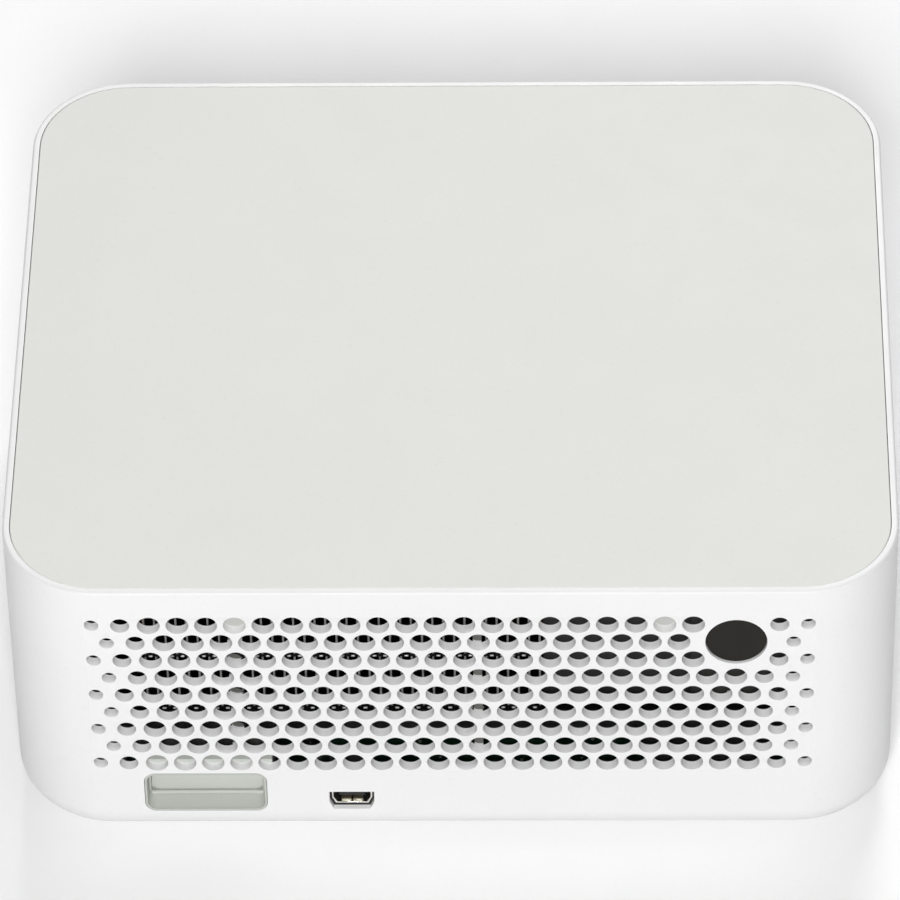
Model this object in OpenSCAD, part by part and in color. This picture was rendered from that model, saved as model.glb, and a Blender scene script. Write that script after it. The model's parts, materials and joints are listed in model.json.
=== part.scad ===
// Compact projector with a slim tray-loading disc drive under its optics.
// +X is to the right seen from the front, the lens and the tray face -Y, +Z is up.
// The origin is on the surface that the feet stand on, under the housing's centre.

/* [Housing] */
// Width of the housing, left to right
body_w = 165; // [162:1:190]
// Depth of the housing, front to rear
body_d = 142; // [140:1:170]
// Height from the surface it stands on to its top
body_h = 66; // [64:1:80]
// Plan radius of the upright corners
corner_r = 18.5; // [16:0.5:21]
// Radius of the bottom edge
bottom_r = 6.5; // [4:0.5:8]
// Radius of the rim's outer top edge
top_r = 0.5; // [0.3:0.1:0.9]
// Thickness of the housing wall
wall = 2.0; // [1.8:0.1:2.4]
// Height of the feet below the housing
foot_h = 1.5; // [1:0.1:3]
// Width of the rim around the top panel
rim_w = 1.3; // [1:0.1:1.5]
// Gap between the rim and the top panel
seam_gap = 0.1; // [0.1:0.05:0.4]
// Thickness of the top panel
cover_t = 2.0; // [1.6:0.1:3]
// Thickness of the base plate
base_t = 2.0; // [1.6:0.1:3]
// Inset of the base plate's recess from the housing outline
base_inset = 9; // [8:0.5:10]
// Width of the ledge that the base plate closes against
ledge_w = 3; // [2:0.5:4]
// Radius of the corner posts
post_r = 3.5; // [3:0.1:3.8]

/* [Rear grille] */
// Middle of the end holes to the side of the housing
grille_side = 16.875; // [15:0.125:20]
// Rows of holes
hole_rows = 9; // [5:1:9]
// Half pitches from the middle to the last hole
hole_cols = 25; // [15:2:25]
// Radius of most holes
hole_r = 2.1; // [1.6:0.05:2.2]
// Radius of the last but one holes
hole_mid_r = 1.75; // [1.2:0.05:2]
// Radius of the end holes
hole_end_r = 1.35; // [1:0.05:1.6]
// Top of the housing to the first row
grille_drop = 8.3; // [7.5:0.1:12]
// Gap between the last row of holes and the dongle bay
grille_gap = 0.877; // [0.7:0.001:3]
// Radius of the remote control window
ir_r = 5.55; // [4.5:0.05:5.8]

/* [Rear ports] */
// Middle of the dongle bay to the side of the housing
bay_side = 36.2; // [34:0.1:40]
// Width of the dongle bay's lip
bay_w = 22.8; // [20:0.1:24]
// Height of the dongle bay's lip
bay_h = 10; // [9:0.1:10.5]
// Middle of the dongle bay above the housing's underside
bay_rise = 11.85; // [11.5:0.05:12.2]
// Depth from the rear face to the bay's door
door_depth = 4.7; // [4:0.1:5.2]
// Thickness of the bay's door
door_t = 1.2; // [1:0.1:1.4]
// Middle of the service port to the middle of the dongle bay
port_gap = 27.3; // [22:0.1:30]
// Width of the service port's metal shell
port_w = 7.7; // [7.5:0.1:8.5]
// Height of the service port's metal shell
port_h = 3.9; // [3.5:0.1:4.2]

/* [Disc drive] */
// Room beside the drive case for the housing's corner posts
drive_side = 18.5; // [18.5:0.5:24]
// Room behind the drive case for the dongle's sleeve
drive_back = 12.7; // [12.7:0.1:16]
// Height of the drive
drive_h = 12.7; // [12.3:0.1:13]
// Thickness of the drive's sheet metal
sheet = 0.6; // [0.5:0.05:0.7]
// Thickness of the tray's front bezel
bezel_t = 3; // [2.5:0.1:3.5]
// Thickness of the tray in front of the disc recess
tray_lip = 3; // [2.6:0.1:3.4]
// Thickness of the tray behind and beside the disc recess
tray_edge = 1; // [1:0.1:2]
// Radius of the spindle shaft
spindle_r = 1; // [0.8:0.05:1.2]
// Radius of the pickup's guide rods
rod_r = 1; // [0.8:0.05:1.1]
// Radius of the pickup's lead screw
screw_r = 1.25; // [1:0.05:1.4]
// Direction in which the pickup travels, from +X
travel_angle = 225; // [215:1:232]
// Distance from the spindle to the lens at the disc's inner track
track_in = 24; // [23:0.5:26]

/* [Optics] */
// Width of the light engine
engine_w = 44; // [42:0.5:48]
// Front window's height less than the room above the deck
window_low = 6.2; // [6:0.1:8]
// Front window's edge to the lens barrel
window_edge = 1; // [0.8:0.1:2]
// Thickness of the lens barrel's wall
barrel_wall = 1.55; // [1.2:0.05:2]
// Teeth on the focus ring
ring_teeth = 48; // [46:1:50]
// Teeth on the focus pinion
pinion_teeth = 10; // [9:1:12]
// Front window's width beyond the light engine's
window_more = 14; // [10:1:18]

/* [Cooling] */
// Depth of the fin stack
fins_d = 26; // [22:0.5:27]
// Pitch of the fins
fin_pitch = 1.97; // [1.8:0.01:2.4]
// Thickness of one fin
fin_t = 0.35; // [0.25:0.05:0.5]
// Radius of the heat pipes
pipe_r = 3; // [2.5:0.1:3.2]
// Radius of the bend in the lower heat pipe
bend_r = 8; // [7:0.5:10]
// Gap between the light engine and the blower
blower_gap = 10; // [9:0.5:14]
// Blades on the impeller
blades = 24; // [12:1:36]

/* [Controls] */
// Radius of the power button
button_r = 4.3; // [3.5:0.1:5]
// Travel of the power button
button_stroke = 0.6; // [0.4:0.1:0.8]
// Width of the fold-out stand
stand_w = 40; // [30:1:44]
// Length of the fold-out stand
stand_l = 20; // [16:1:22]

/* [Clearances] */
// Radial clearance of a shaft in its bearing
run_clear = 0.05; // [0.02:0.01:0.08]
// Gap around a piece that moves past another
slide_clear = 0.3; // [0.25:0.05:0.4]
// Gap around a piece set in an opening
set_clear = 0.1; // [0.05:0.05:0.2]

/* [Hidden] */
$fn = 48;

white = "#f1f1ee";
bay_grey = "#bcc2ba";
dark = "#2b2b2a";
board_green = "#1f5a3c";
steel = "#b9bcc0";
copper = "#b87346";
glass = "#bcd3e6";
eps = 0.01;

// Faces of the housing
front_y = -body_d / 2;
rear_y = body_d / 2;
rear_in = rear_y - wall;
side_in = body_w / 2 - wall;
floor_z = foot_h + base_t;
ledge_z = floor_z + 2;
ceil_z = body_h - cover_t;

// Levels from the base plate up
standoff_h = 4;
board_z = floor_z + standoff_h;
board_t = 1.6;
board_top = board_z + board_t;
drive_z = board_top + 7.4;
drive_top = drive_z + drive_h;
frame_z = drive_top + 0.6;
frame_t = 1;
deck_z = frame_z + frame_t;

// Corner posts beside the drive
drive_w = body_w - 2 * drive_side;
post_x = drive_w / 2 + 0.5 + post_r;
post_y = body_d / 2 - 15;
screw_hole_r = 1.25;
shank_r = 1.2;
head_r = 2.6;
head_h = 1.2;

// Dongle bay
bay_x = body_w / 2 - bay_side;
bay_z = foot_h + bay_rise;
bay_lip = 0.4;
bay_r = 2.15;
sleeve_wall = 1.15;
sleeve_h = 13;
sleeve_top = bay_z + 6.85;
sleeve_back = 1.2;
bay_in_w = bay_w - 2 * bay_lip;
bay_in_h = bay_h - 2 * bay_lip;
sleeve_w = bay_w + 2 * sleeve_wall;
door_y = rear_y - door_depth - door_t / 2;
door_low = bay_z - bay_in_h / 2 + 0.5;
door_pivot_z = door_low + door_t / 2 + 0.1;
door_top = bay_z + bay_in_h / 2 - 0.15;
trunnion_r = 0.55;
trunnion_l = 0.8;

// Rear grille, from the top down to the bay
hole_pitch = (body_w - 2 * grille_side) / hole_cols;
row_0_z = body_h - grille_drop;
row_pitch = (row_0_z - bay_z - bay_h / 2 - grille_gap - hole_r) / (hole_rows - 1);
ir_col = -20;
ir_x = ir_col * hole_pitch / 2;
ir_z = row_0_z - row_pitch;
boss_x = 15 * hole_pitch / 2;
boss_r = 2.6;
boss_h = 6;

// Drive
fit_gap = 0.2;
case_y = front_y + bezel_t + fit_gap;
drive_d = body_d - bezel_t - fit_gap - drive_back;
case_rear = case_y + drive_d;
tray_y = front_y + bezel_t;
tray_rear = case_rear - 2 * sheet - 0.3;
wing_x = drive_w / 2 - 2 * sheet - 0.4;
recess_r = min((tray_rear - tray_y - tray_lip - tray_edge) / 2, wing_x - 2 * tray_edge);
spindle_y = tray_y + tray_lip + recess_r;
deck_low = drive_top - 5;
recess_z = deck_low + 1.2;
deck_top = recess_z + 2;
skirt_x = wing_x - 2.6;
skirt_t = 1.5;
plate_z = drive_z + 1.4;
plate_t = 0.5;
skirt_low = plate_z + plate_t;
finger_r = 9;
rod_z = skirt_low + 2.9;
rod_t = 12;
lug_t = 2;
lug_top = rod_z + 1.9;
sled_l = 12;
sled_w = 2 * (rod_t + 2.5);
sled_low = rod_z - 2;
sled_top = rod_z + 2.1;
track_out = recess_r - 2.4;
rod_s0 = track_in - sled_l / 2 - 2.3;
rod_s1 = track_out + sled_l / 2 + 2.3;
lead_t = rod_t + 5.5;
motor_s1 = track_in - 5;
motor_len = 11;
motor_r = 2.6;
hub_r = 7.45;
table_r = 14.5;
eject_x = drive_w / 2 - 24;
eject_z = drive_z + 5;
eject_w = 10;
eject_h = 3;
sleeve_y = case_rear + 0.5;

// Light engine, beside the blower between the speakers
speaker_t = 16;
core_x = side_in - speaker_t - 6.5;
engine_x0 = -core_x;
engine_x1 = engine_x0 + engine_w;
engine_t = 2;
engine_lid_t = 1.5;
engine_top = ceil_z - 2.7 - engine_lid_t;
engine_y = front_y + 43;
prism_d = 30;
prism_size = 16;
fins_y1 = rear_y - 5;
fins_y0 = fins_y1 - fins_d;
lens_x = engine_x0 + engine_w / 2;
lens_z = (deck_z + ceil_z) / 2;
arm_x1 = lens_x + 3;
arm_y0 = engine_y + prism_d;
arm_y1 = fins_y0;
arm_mid_x = (engine_x0 + arm_x1) / 2;
chip_y = engine_y + prism_d / 2;
led_y = (arm_y0 + arm_y1) / 2;
led_size = 14;
led_t = 3;
relay_r = (arm_x1 - engine_x0) / 2 - engine_t - 1.5;

// Lens
window_w = engine_w + window_more;
window_h = ceil_z - deck_z - window_low;
window_r = window_h / 2 - 1;
window_x = lens_x + 6;
window_y = front_y + wall;
barrel_r = window_h / 2 - window_edge;
barrel_y = front_y + 7;
cell_r = barrel_r - barrel_wall - run_clear;
gear_m = 2 * (barrel_r + 1.9) / ring_teeth;
ring_r = gear_m * ring_teeth / 2;
pinion_r = gear_m * pinion_teeth / 2;
ring_y = barrel_y + 14;
ring_w = 6;
mesh_gap = 0.15;
pinion_x = lens_x - ring_r - pinion_r - mesh_gap;
focus_motor_r = 4.3;
focus_motor_l = 12;
focus_shaft_r = 0.75;

// Cooling
block_t = 8;
side_pipe_x = arm_x1 + led_t + block_t / 2;
fins_x0 = side_pipe_x + bend_r + 1.4;
fins_x1 = core_x - 1;
fins_top = ceil_z - 1.5;
pipe_y = fins_y0 + 10;
pipe_low_z = deck_z + 7.2;
pipe_high_z = fins_top - 9.5;
fins_mid = (pipe_low_z + pipe_high_z) / 2 - 0.9;
plate_gauge = 0.5;
blower_x0 = engine_x1 + blower_gap;
blower_x1 = core_x;
blower_y1 = fins_y0 - 1;
blower_y0 = front_y + 46;
blower_top = engine_top;
blower_lid_t = 1.4;
impeller_r = min((blower_x1 - blower_x0) / 2 - 7, (blower_y1 - blower_y0) / 2 - 8);
fan_x = (blower_x0 + blower_x1) / 2;
fan_y = blower_y0 + impeller_r + 7;
fan_wall = 1.6;
fan_shaft_r = 1.5;
fan_hub_r = 0.375 * impeller_r;
inlet_r = impeller_r - 7;
under_r = impeller_r / 2 - 1;

// Power button
button_y = front_y + 28;
button_z = lens_z;
flange_t = 0.9;

// Speakers and side grilles, between the power button and the engine's side block
speaker_y0 = button_y + 9;
speaker_y1 = led_y - 13;
speaker_z = deck_z + 1;
speaker_top = ceil_z - 2;
speaker_mid_z = (speaker_z + speaker_top) / 2;
cone_r = (speaker_top - speaker_z) / 2 - 2.6;
side_y = (speaker_y0 + speaker_y1) / 2;
side_rows = 6;
side_cols = 7;

// Rear port, and side sockets on the board's tongue
port_x = bay_x - port_gap;
socket_x = -side_in;
dc_y = rear_y - 33;
hdmi_y = dc_y - 19;
usb_y = hdmi_y - 19;
jack_y = usb_y - 18;
jack_r = 1.8;

// Base details
base_t0 = 0.4;
stand_t = 2.4;
stand_y = front_y + 16;
stand_z = foot_h + 2;
stand_roof = 1;
stand_pin_r = 1;
foot_x = body_w / 2 - base_inset - 15;
foot_y = body_d / 2 - base_inset - 12;
foot_r = 6;
tripod_y = 12;
tripod_r = 4.5;
thread_r = 2.6;
tripod_h = standoff_h + base_t - base_t0;

// Places of the posts under the board and the drive
board_x = drive_w / 2 - 2;
board_y0 = stand_y + stand_l + 3;
standoffs = [[20 - board_x, board_y0 + 10], [board_x - 20, board_y0 + 10], [6 - board_x, rear_in - 15],
    [bay_x - 20.3, rear_in - 14]];
drive_posts = [[14 - board_x, front_y + 18], [board_x - 14, front_y + 18], [6 - board_x, rear_y - 41],
    [board_x - 6, rear_y - 41]];

// ---------- shared shapes ----------

// Half of a cross-section with a rounded lower and upper edge.
module edge_profile(half, h, low_r, up_r) {
    square([half - low_r, h]);
    translate([0, low_r]) square([half - up_r, h - low_r]);
    translate([0, low_r]) square([half, h - low_r - up_r]);
    translate([half - low_r, low_r]) circle(r = low_r);
    translate([half - up_r, h - up_r]) circle(r = up_r);
}

// Block with round upright corners and rounded lower and upper edges.
module slab(w, d, h, r, low_r, up_r) {
    for (sx = [-1, 1])
        for (sy = [-1, 1])
            translate([sx * (w / 2 - r), sy * (d / 2 - r), 0])
                rotate_extrude() edge_profile(r, h, low_r, up_r);
    rotate([90, 0, 90])
        translate([0, 0, r - w / 2])
            linear_extrude(w - 2 * r)
                for (side = [0, 1]) mirror([side, 0]) edge_profile(d / 2, h, low_r, up_r);
    rotate([90, 0, 0])
        translate([0, 0, r - d / 2])
            linear_extrude(d - 2 * r)
                for (side = [0, 1]) mirror([side, 0]) edge_profile(w / 2, h, low_r, up_r);
}

// Rectangle with round corners, about the origin.
module plan(w, d, r) {
    square([w - 2 * r, d], center = true);
    square([w, d - 2 * r], center = true);
    for (sx = [-1, 1])
        for (sy = [-1, 1])
            translate([sx * (w / 2 - r), sy * (d / 2 - r)]) circle(r = r);
}

// Upright prism of the housing's outline, inset all round.
module outline_prism(inset, z0, z1) {
    translate([0, 0, z0])
        linear_extrude(z1 - z0) plan(body_w - 2 * inset, body_d - 2 * inset, corner_r - inset);
}

// Box given by its lowest and highest corners.
module span(low, high) {
    translate(low) cube(high - low);
}

// Cylinder along Y from y0 to y1.
module along_y(x, z, r, y0, y1) {
    translate([x, y1, z]) rotate([90, 0, 0]) cylinder(r = r, h = y1 - y0);
}

// Cylinder along X from x0 to x1.
module along_x(y, z, r, x0, x1) {
    translate([x0, y, z]) rotate([0, 90, 0]) cylinder(r = r, h = x1 - x0);
}

// Rounded rectangle in X and Z, run along Y.
module panel_y(x, z, w, h, r, y0, y1) {
    translate([x, y1, z]) rotate([90, 0, 0]) linear_extrude(y1 - y0) plan(w, h, r);
}

// Spur gear outline with straight flanks.
module gear(teeth, m) {
    root_r = m * teeth / 2 - 1.15 * m;
    tip_r = m * teeth / 2 + 0.9 * m;
    circle(r = root_r);
    for (i = [0 : teeth - 1])
        rotate(i * 360 / teeth)
            polygon([[root_r - 0.5, -0.95 * m], [root_r, -0.85 * m], [tip_r, -0.3 * m],
                [tip_r, 0.3 * m], [root_r, 0.85 * m], [root_r - 0.5, 0.95 * m]]);
}

// ---------- housing ----------

// Radius of the grille hole at half-pitch column c.
function grille_r(c) = abs(c) > hole_cols - 2 ? hole_end_r : abs(c) > hole_cols - 4 ? hole_mid_r : hole_r;

// Rows of the rear grille's staggered holes, left out around the remote control window.
module rear_holes(first, last, depth) {
    translate([0, rear_y + 1, 0])
        rotate([90, 0, 0])
            linear_extrude(depth + 1)
                for (r = [first : last])
                    for (c = [-hole_cols : hole_cols])
                        if ((r + c) % 2 != 0 && norm([(c - ir_col) / 2, (r - 1) * sin(60)]) > 1.4)
                            translate([c * hole_pitch / 2, row_0_z - r * row_pitch]) circle(r = grille_r(c));
}

// The same stagger in front of each speaker.
module side_holes() {
    for (side = [-1, 1])
        translate([side > 0 ? side_in - 1 : -body_w / 2 - 1, side_y, 0])
            rotate([90, 0, 90])
                linear_extrude(wall + 2)
                    for (r = [0 : side_rows - 1])
                        for (c = [-side_cols : side_cols])
                            if ((r + c) % 2 != 0)
                                translate([c * hole_pitch / 2, row_0_z - r * row_pitch])
                                    circle(r = abs(c) > side_cols - 1 ? hole_mid_r : hole_r);
}

// Outline of the service port, wide above and narrow below, with its foot at the origin.
module port_shape(grow) {
    polygon([[-0.4 * port_w - grow, -grow], [0.4 * port_w + grow, -grow],
        [port_w / 2 + grow, 0.42 * port_h], [port_w / 2 + grow, port_h + grow],
        [-port_w / 2 - grow, port_h + grow], [-port_w / 2 - grow, 0.42 * port_h]]);
}

// Cut-outs in the side wall for the sockets.
module socket_cuts() {
    x0 = -body_w / 2 - 1;
    x1 = -side_in + 1;
    along_x(dc_y, board_top + 5, 4, x0, x1);
    span([x0, hdmi_y - 8, board_top - 0.3], [x1, hdmi_y + 8, board_top + 6]);
    span([x0, usb_y - 7.5, board_top - 0.3], [x1, usb_y + 7.5, board_top + 7.4]);
    along_x(jack_y, board_top + 3, 3.2, x0, x1);
}

module housing_shell() color(white) {
    difference() {
        union() {
            difference() {
                translate([0, 0, foot_h])
                    slab(body_w, body_d, body_h - foot_h, corner_r, bottom_r, top_r);
                outline_prism(wall, ledge_z, body_h + 1);
            }
            for (sx = [-1, 1]) {
                for (sy = [-1, 1])
                    translate([sx * post_x, sy * post_y, floor_z])
                        cylinder(r = post_r, h = frame_z - floor_z);
                intersection() {
                    translate([sx * boss_x, rear_in, row_0_z - boss_h])
                        cylinder(r = boss_r, h = ceil_z - row_0_z + boss_h);
                    span([-body_w / 2, 0, 0], [body_w / 2, rear_in + 1, body_h]);
                }
            }
            span([-5.75, rear_in - 2.4, sleeve_top + 1], [-4.15, rear_in + 0.5, ceil_z]);
            translate([boss_x + 0.45, rear_in - 0.6, sleeve_top])
                cylinder(r = 1.15, h = row_0_z - boss_h - sleeve_top);
        }
        outline_prism(rim_w, ceil_z, body_h + 1);
        outline_prism(base_inset, foot_h - 1, floor_z);
        outline_prism(base_inset + ledge_w, 0, ledge_z + eps);
        for (sx = [-1, 1])
            for (sy = [-1, 1])
                translate([sx * post_x, sy * post_y, 0]) {
                    translate([0, 0, floor_z - 1]) cylinder(r = screw_hole_r, h = 11);
                    translate([0, 0, frame_z - 9]) cylinder(r = screw_hole_r, h = 10);
                }
        // The rows below the bosses run on through the rod and into the web behind the wall
        rear_holes(0, 0, wall + 1);
        rear_holes(1, hole_rows - 1, wall + 1.8);
        side_holes();
        socket_cuts();
        along_y(ir_x, ir_z, ir_r + 0.15, rear_in - 1, rear_y + 1);
        panel_y(bay_x, bay_z, bay_w + 2 * set_clear, bay_h + 2 * set_clear, bay_r + set_clear,
            rear_in - 1, rear_y + 1);
        translate([port_x, rear_y + 1, board_top])
            rotate([90, 0, 0]) linear_extrude(wall + 2) port_shape(0.35);
        panel_y(window_x, lens_z, window_w + 2 * set_clear, window_h + 2 * set_clear, window_r,
            front_y - 1, front_y + wall + 1);
        span([-drive_w / 2 - slide_clear, front_y - 1, drive_z - slide_clear],
            [drive_w / 2 + slide_clear, front_y + wall + 1, drive_top + slide_clear]);
        along_x(button_y, button_z, button_r + 0.15, side_in - 1, body_w / 2 + 1);
    }
}

module top_cover() color(white) {
    outline_prism(rim_w + seam_gap, ceil_z, body_h);
    // Locating ribs just inside the housing wall
    rib_x = side_in - 1.2;
    for (sx = [-1, 1])
        span([sx * rib_x - 0.8, -30, ceil_z - 1.2], [sx * rib_x + 0.8, 30, ceil_z + eps]);
}

module base_cover() color(white) {
    difference() {
        union() {
            outline_prism(base_inset + 0.2, foot_h, floor_z);
            translate([0, 0, floor_z - eps]) {
                for (p = standoffs) translate(p) cylinder(r = 2.6, h = standoff_h + eps);
                for (p = drive_posts) translate(p) cylinder(r = 2.5, h = drive_z - floor_z + eps);
            }
            translate([0, tripod_y, foot_h]) cylinder(r = tripod_r + 2, h = tripod_h);
            // Roof and walls of the recess that the stand folds into
            span([-stand_w / 2 - 1.8, stand_y - 3.4, foot_h],
                [stand_w / 2 + 1.8, stand_y + stand_l + 1.6, board_z - 0.6]);
        }
        for (p = standoffs)
            translate([p[0], p[1], floor_z - 0.5]) cylinder(r = screw_hole_r, h = standoff_h + 1);
        translate([0, tripod_y, foot_h - 1]) cylinder(r = tripod_r, h = tripod_h + 2);
        span([-stand_w / 2 - 0.3, stand_y - 2.2, foot_h - 1],
            [stand_w / 2 + 0.3, stand_y + stand_l + 0.4, board_z - 0.6 - stand_roof]);
        along_x(stand_y, stand_z, stand_pin_r + run_clear, -stand_w / 2 - 1.4, stand_w / 2 + 1.4);
        for (sx = [-1, 1])
            for (sy = [-1, 1]) {
                translate([sx * post_x, sy * post_y, foot_h - 1]) {
                    cylinder(r = screw_hole_r + set_clear, h = base_t + 2);
                    cylinder(r = head_r + 0.2, h = head_h + 1.1);
                }
                translate([sx * foot_x, sy * foot_y, foot_h - 1]) cylinder(r = foot_r + 0.05, h = 1.5);
            }
        // Air slots in the base
        for (sx = [-1, 1])
            for (i = [0 : 5])
                translate([sx * (foot_x - 2.5) - 6, i * 6 - 24, foot_h - 1]) cube([12, 2, base_t + 2]);
    }
}

module base_screws() color(steel)
    for (sx = [-1, 1])
        for (sy = [-1, 1])
            translate([sx * post_x, sy * post_y, foot_h + 0.1])
                screw(9);

// Pan-head screw, head down at the origin, with a plain cross slot.
module screw(length) {
    difference() {
        cylinder(r = head_r, h = head_h - 0.1);
        for (turn = [0, 90]) rotate(turn) span([-1.4, -0.3, -1], [1.4, 0.3, 0.6]);
    }
    cylinder(r = shank_r, h = head_h + length);
}

module rubber_feet() color(dark)
    for (sx = [-1, 1])
        for (sy = [-1, 1])
            translate([sx * foot_x, sy * foot_y, 0]) cylinder(r = foot_r, h = foot_h + 0.5);

module tripod_insert() color("#c9a24a")
    translate([0, tripod_y, foot_h])
        difference() {
            cylinder(r = tripod_r, h = tripod_h);
            translate([0, 0, -1]) cylinder(r = thread_r, h = tripod_h + 2);
        }

module kickstand() color("#9a9d9b")
    difference() {
        union() {
            translate([-stand_w / 2, stand_y, stand_z - stand_t / 2]) cube([stand_w, stand_l, stand_t]);
            along_x(stand_y, stand_z, stand_t / 2, -stand_w / 2, stand_w / 2);
            along_x(stand_y, stand_z, stand_pin_r, -stand_w / 2 - 1.2, stand_w / 2 + 1.2);
        }
        // Finger hollow at the free end
        span([-8, stand_y + stand_l - 5, stand_z - stand_t], [8, stand_y + stand_l + 1, stand_z - 0.2]);
    }

// ---------- windows ----------

module front_window() color("#101214")
    difference() {
        union() {
            panel_y(window_x, lens_z, window_w, window_h, window_r, front_y + 0.3, window_y + eps);
            panel_y(window_x, lens_z, window_w + 4, window_h + 3, window_r + 1.5, window_y, window_y + 1.2);
        }
        along_y(lens_x, lens_z, barrel_r + 0.3, front_y - 1, window_y + 3);
    }

module ir_window() color(dark) {
    along_y(ir_x, ir_z, ir_r, rear_in - 0.5, rear_y - 0.4);
    along_y(ir_x, ir_z, ir_r + 1, rear_in - 1.2, rear_in);
}

module ir_receiver() color(board_green) {
    span([ir_x - 8, rear_in - 5.8, deck_z], [ir_x + 8, rear_in - 4.8, ir_z + 6]);
    span([ir_x - 2.5, rear_in - 4.8, ir_z - 3], [ir_x + 2.5, rear_in - 2.6, ir_z + 3]);
    along_y(ir_x, ir_z, 2, rear_in - 2.6, rear_in - 1.5);
}

module air_baffle() color("#161616")
    span([-side_in + 12, rear_in - 7.4, deck_z], [fins_x0 - 0.5, rear_in - 6.2, ceil_z - 0.5]);

// ---------- frame and boards ----------

module mid_frame() color(steel) {
    vent_x = side_in - 10;
    difference() {
        translate([0, 0, frame_z])
            linear_extrude(frame_t) plan(body_w - 2 * wall - 5, body_d - 2 * wall - 5, corner_r - wall - 2.5);
        for (sx = [-1, 1]) {
            for (sy = [-1, 1])
                translate([sx * post_x, sy * post_y, frame_z - 1])
                    cylinder(r = screw_hole_r + set_clear, h = frame_t + 2);
            // Openings that let air rise beside the drive
            for (y = [[10 - post_y, speaker_y0 - 5], [speaker_y1 + 5, post_y - 8]])
                span([sx * vent_x - 4, y[0], frame_z - 1], [sx * vent_x + 4, y[1], frame_z + 2]);
        }
        // Opening under the blower's lower inlet
        translate([fan_x, fan_y, frame_z - 1]) cylinder(r = under_r + 1, h = frame_t + 2);
    }
}

module inner_screws() color(steel) {
    for (sx = [-1, 1])
        for (sy = [-1, 1])
            translate([sx * post_x, sy * post_y, deck_z + head_h]) rotate([180, 0, 0]) screw(8);
    for (p = standoffs) translate([p[0], p[1], board_top + head_h]) rotate([180, 0, 0]) screw(4.4);
}

module main_board() color(board_green)
    translate([0, 0, board_z])
        linear_extrude(board_t)
            difference() {
                union() {
                    translate([-board_x, board_y0]) square([2 * board_x, rear_in - 0.5 - board_y0]);
                    translate([socket_x + 0.4, jack_y - 12]) square([side_in - 50, dc_y - jack_y + 24]);
                }
                translate([bay_x - sleeve_w / 2 - 0.6, sleeve_y - 0.6]) square([sleeve_w + 1.2, body_d / 7]);
                for (p = standoffs) translate([p[0], p[1]]) circle(r = screw_hole_r + 0.2);
                for (p = drive_posts) translate([p[0], p[1]]) circle(r = 3);
                for (sx = [-1, 1])
                    translate([sx * post_x, post_y]) circle(r = post_r + 0.5);
            }

module main_chips() color("#3a3d40") {
    // Heat sink on the processor
    translate([-22, -12, board_top]) cube([36, 36, 1.5]);
    for (i = [0 : 8]) translate([i * 4.35 - 22, -12, board_top + 1.5 - eps]) cube([1.2, 36, 4.1]);
    // Memory chips, capacitors and coils
    for (i = [0 : 3]) translate([board_x - 38, i * 13 - 10, board_top]) cube([10, 9, 1.2]);
    for (i = [0 : 4]) translate([28 - board_x, i * 8 - 8, board_top]) cylinder(r = 3, h = 6);
    for (i = [0 : 2]) translate([10 - board_x, i * 14, board_top]) cube([10, 10, 4.5]);
}

module service_port() color(steel)
    translate([port_x, rear_y - 1.1, board_top])
        rotate([90, 0, 0]) {
            difference() {
                linear_extrude(9.2) port_shape(0);
                translate([0, 0.38, -1])
                    linear_extrude(8.5)
                        polygon([[-0.4 * port_w + 0.3, 0], [0.4 * port_w - 0.3, 0],
                            [port_w / 2 - 0.38, 0.42 * port_h - 0.3], [port_w / 2 - 0.38, port_h - 0.76],
                            [-port_w / 2 + 0.38, port_h - 0.76], [-port_w / 2 + 0.38, 0.42 * port_h - 0.3]]);
            }
            translate([-2.4, 1.7, 0.6]) cube([4.8, 0.9, 7.5]);
        }

module dongle_sleeve() color(bay_grey)
    difference() {
        union() {
            panel_y(bay_x, bay_z, bay_w, bay_h, bay_r, rear_in - eps, rear_y - 0.05);
            span([bay_x - sleeve_w / 2, sleeve_y, sleeve_top - sleeve_h],
                [bay_x + sleeve_w / 2, rear_in, sleeve_top]);
        }
        panel_y(bay_x, bay_z, bay_in_w, bay_in_h, bay_r - bay_lip, sleeve_y + sleeve_back, rear_y + 1);
        span([bay_x - 6.4, sleeve_y - 1, board_top + 0.2], [bay_x + 6.4, sleeve_y + 3, board_top + 5.5]);
        along_x(door_y, door_pivot_z, trunnion_r + run_clear, bay_x - bay_in_w / 2 - trunnion_l - set_clear,
            bay_x + bay_in_w / 2 + trunnion_l + set_clear);
    }

module dongle_door() color(bay_grey) {
    panel_y(bay_x, (door_low + door_top) / 2, bay_in_w - 1.1, door_top - door_low, bay_r - bay_lip - 0.15,
        door_y - door_t / 2, door_y + door_t / 2);
    along_x(door_y, door_pivot_z, trunnion_r,
        bay_x - bay_in_w / 2 - trunnion_l, bay_x + bay_in_w / 2 + trunnion_l);
}

// Flat socket on the board with a contact tongue, mouth toward +Y at the origin.
module flat_socket(w, h, depth, rim, tongue_w, tongue_z, tongue_t) {
    difference() {
        translate([-w / 2, -depth, 0]) cube([w, depth, h]);
        translate([rim - w / 2, 1.5 - depth, rim]) cube([w - 2 * rim, depth, h - 2 * rim]);
    }
    translate([-tongue_w / 2, 1 - depth, tongue_z]) cube([tongue_w, depth - 2, tongue_t]);
}

module dongle_socket() color(steel)
    translate([bay_x, sleeve_y, board_top]) flat_socket(13.2, 5.7, 14, 0.4, 11, 3, 1.6);

module hdmi_socket() color(steel)
    translate([socket_x, hdmi_y, board_top]) rotate(90) flat_socket(15, 5.6, 11.5, 0.4, 12, 2.3, 1);

module usb_socket() color(steel)
    translate([socket_x, usb_y, board_top]) rotate(90) flat_socket(14.4, 7, 14, 0.5, 11, 3.6, 1.8);

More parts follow.
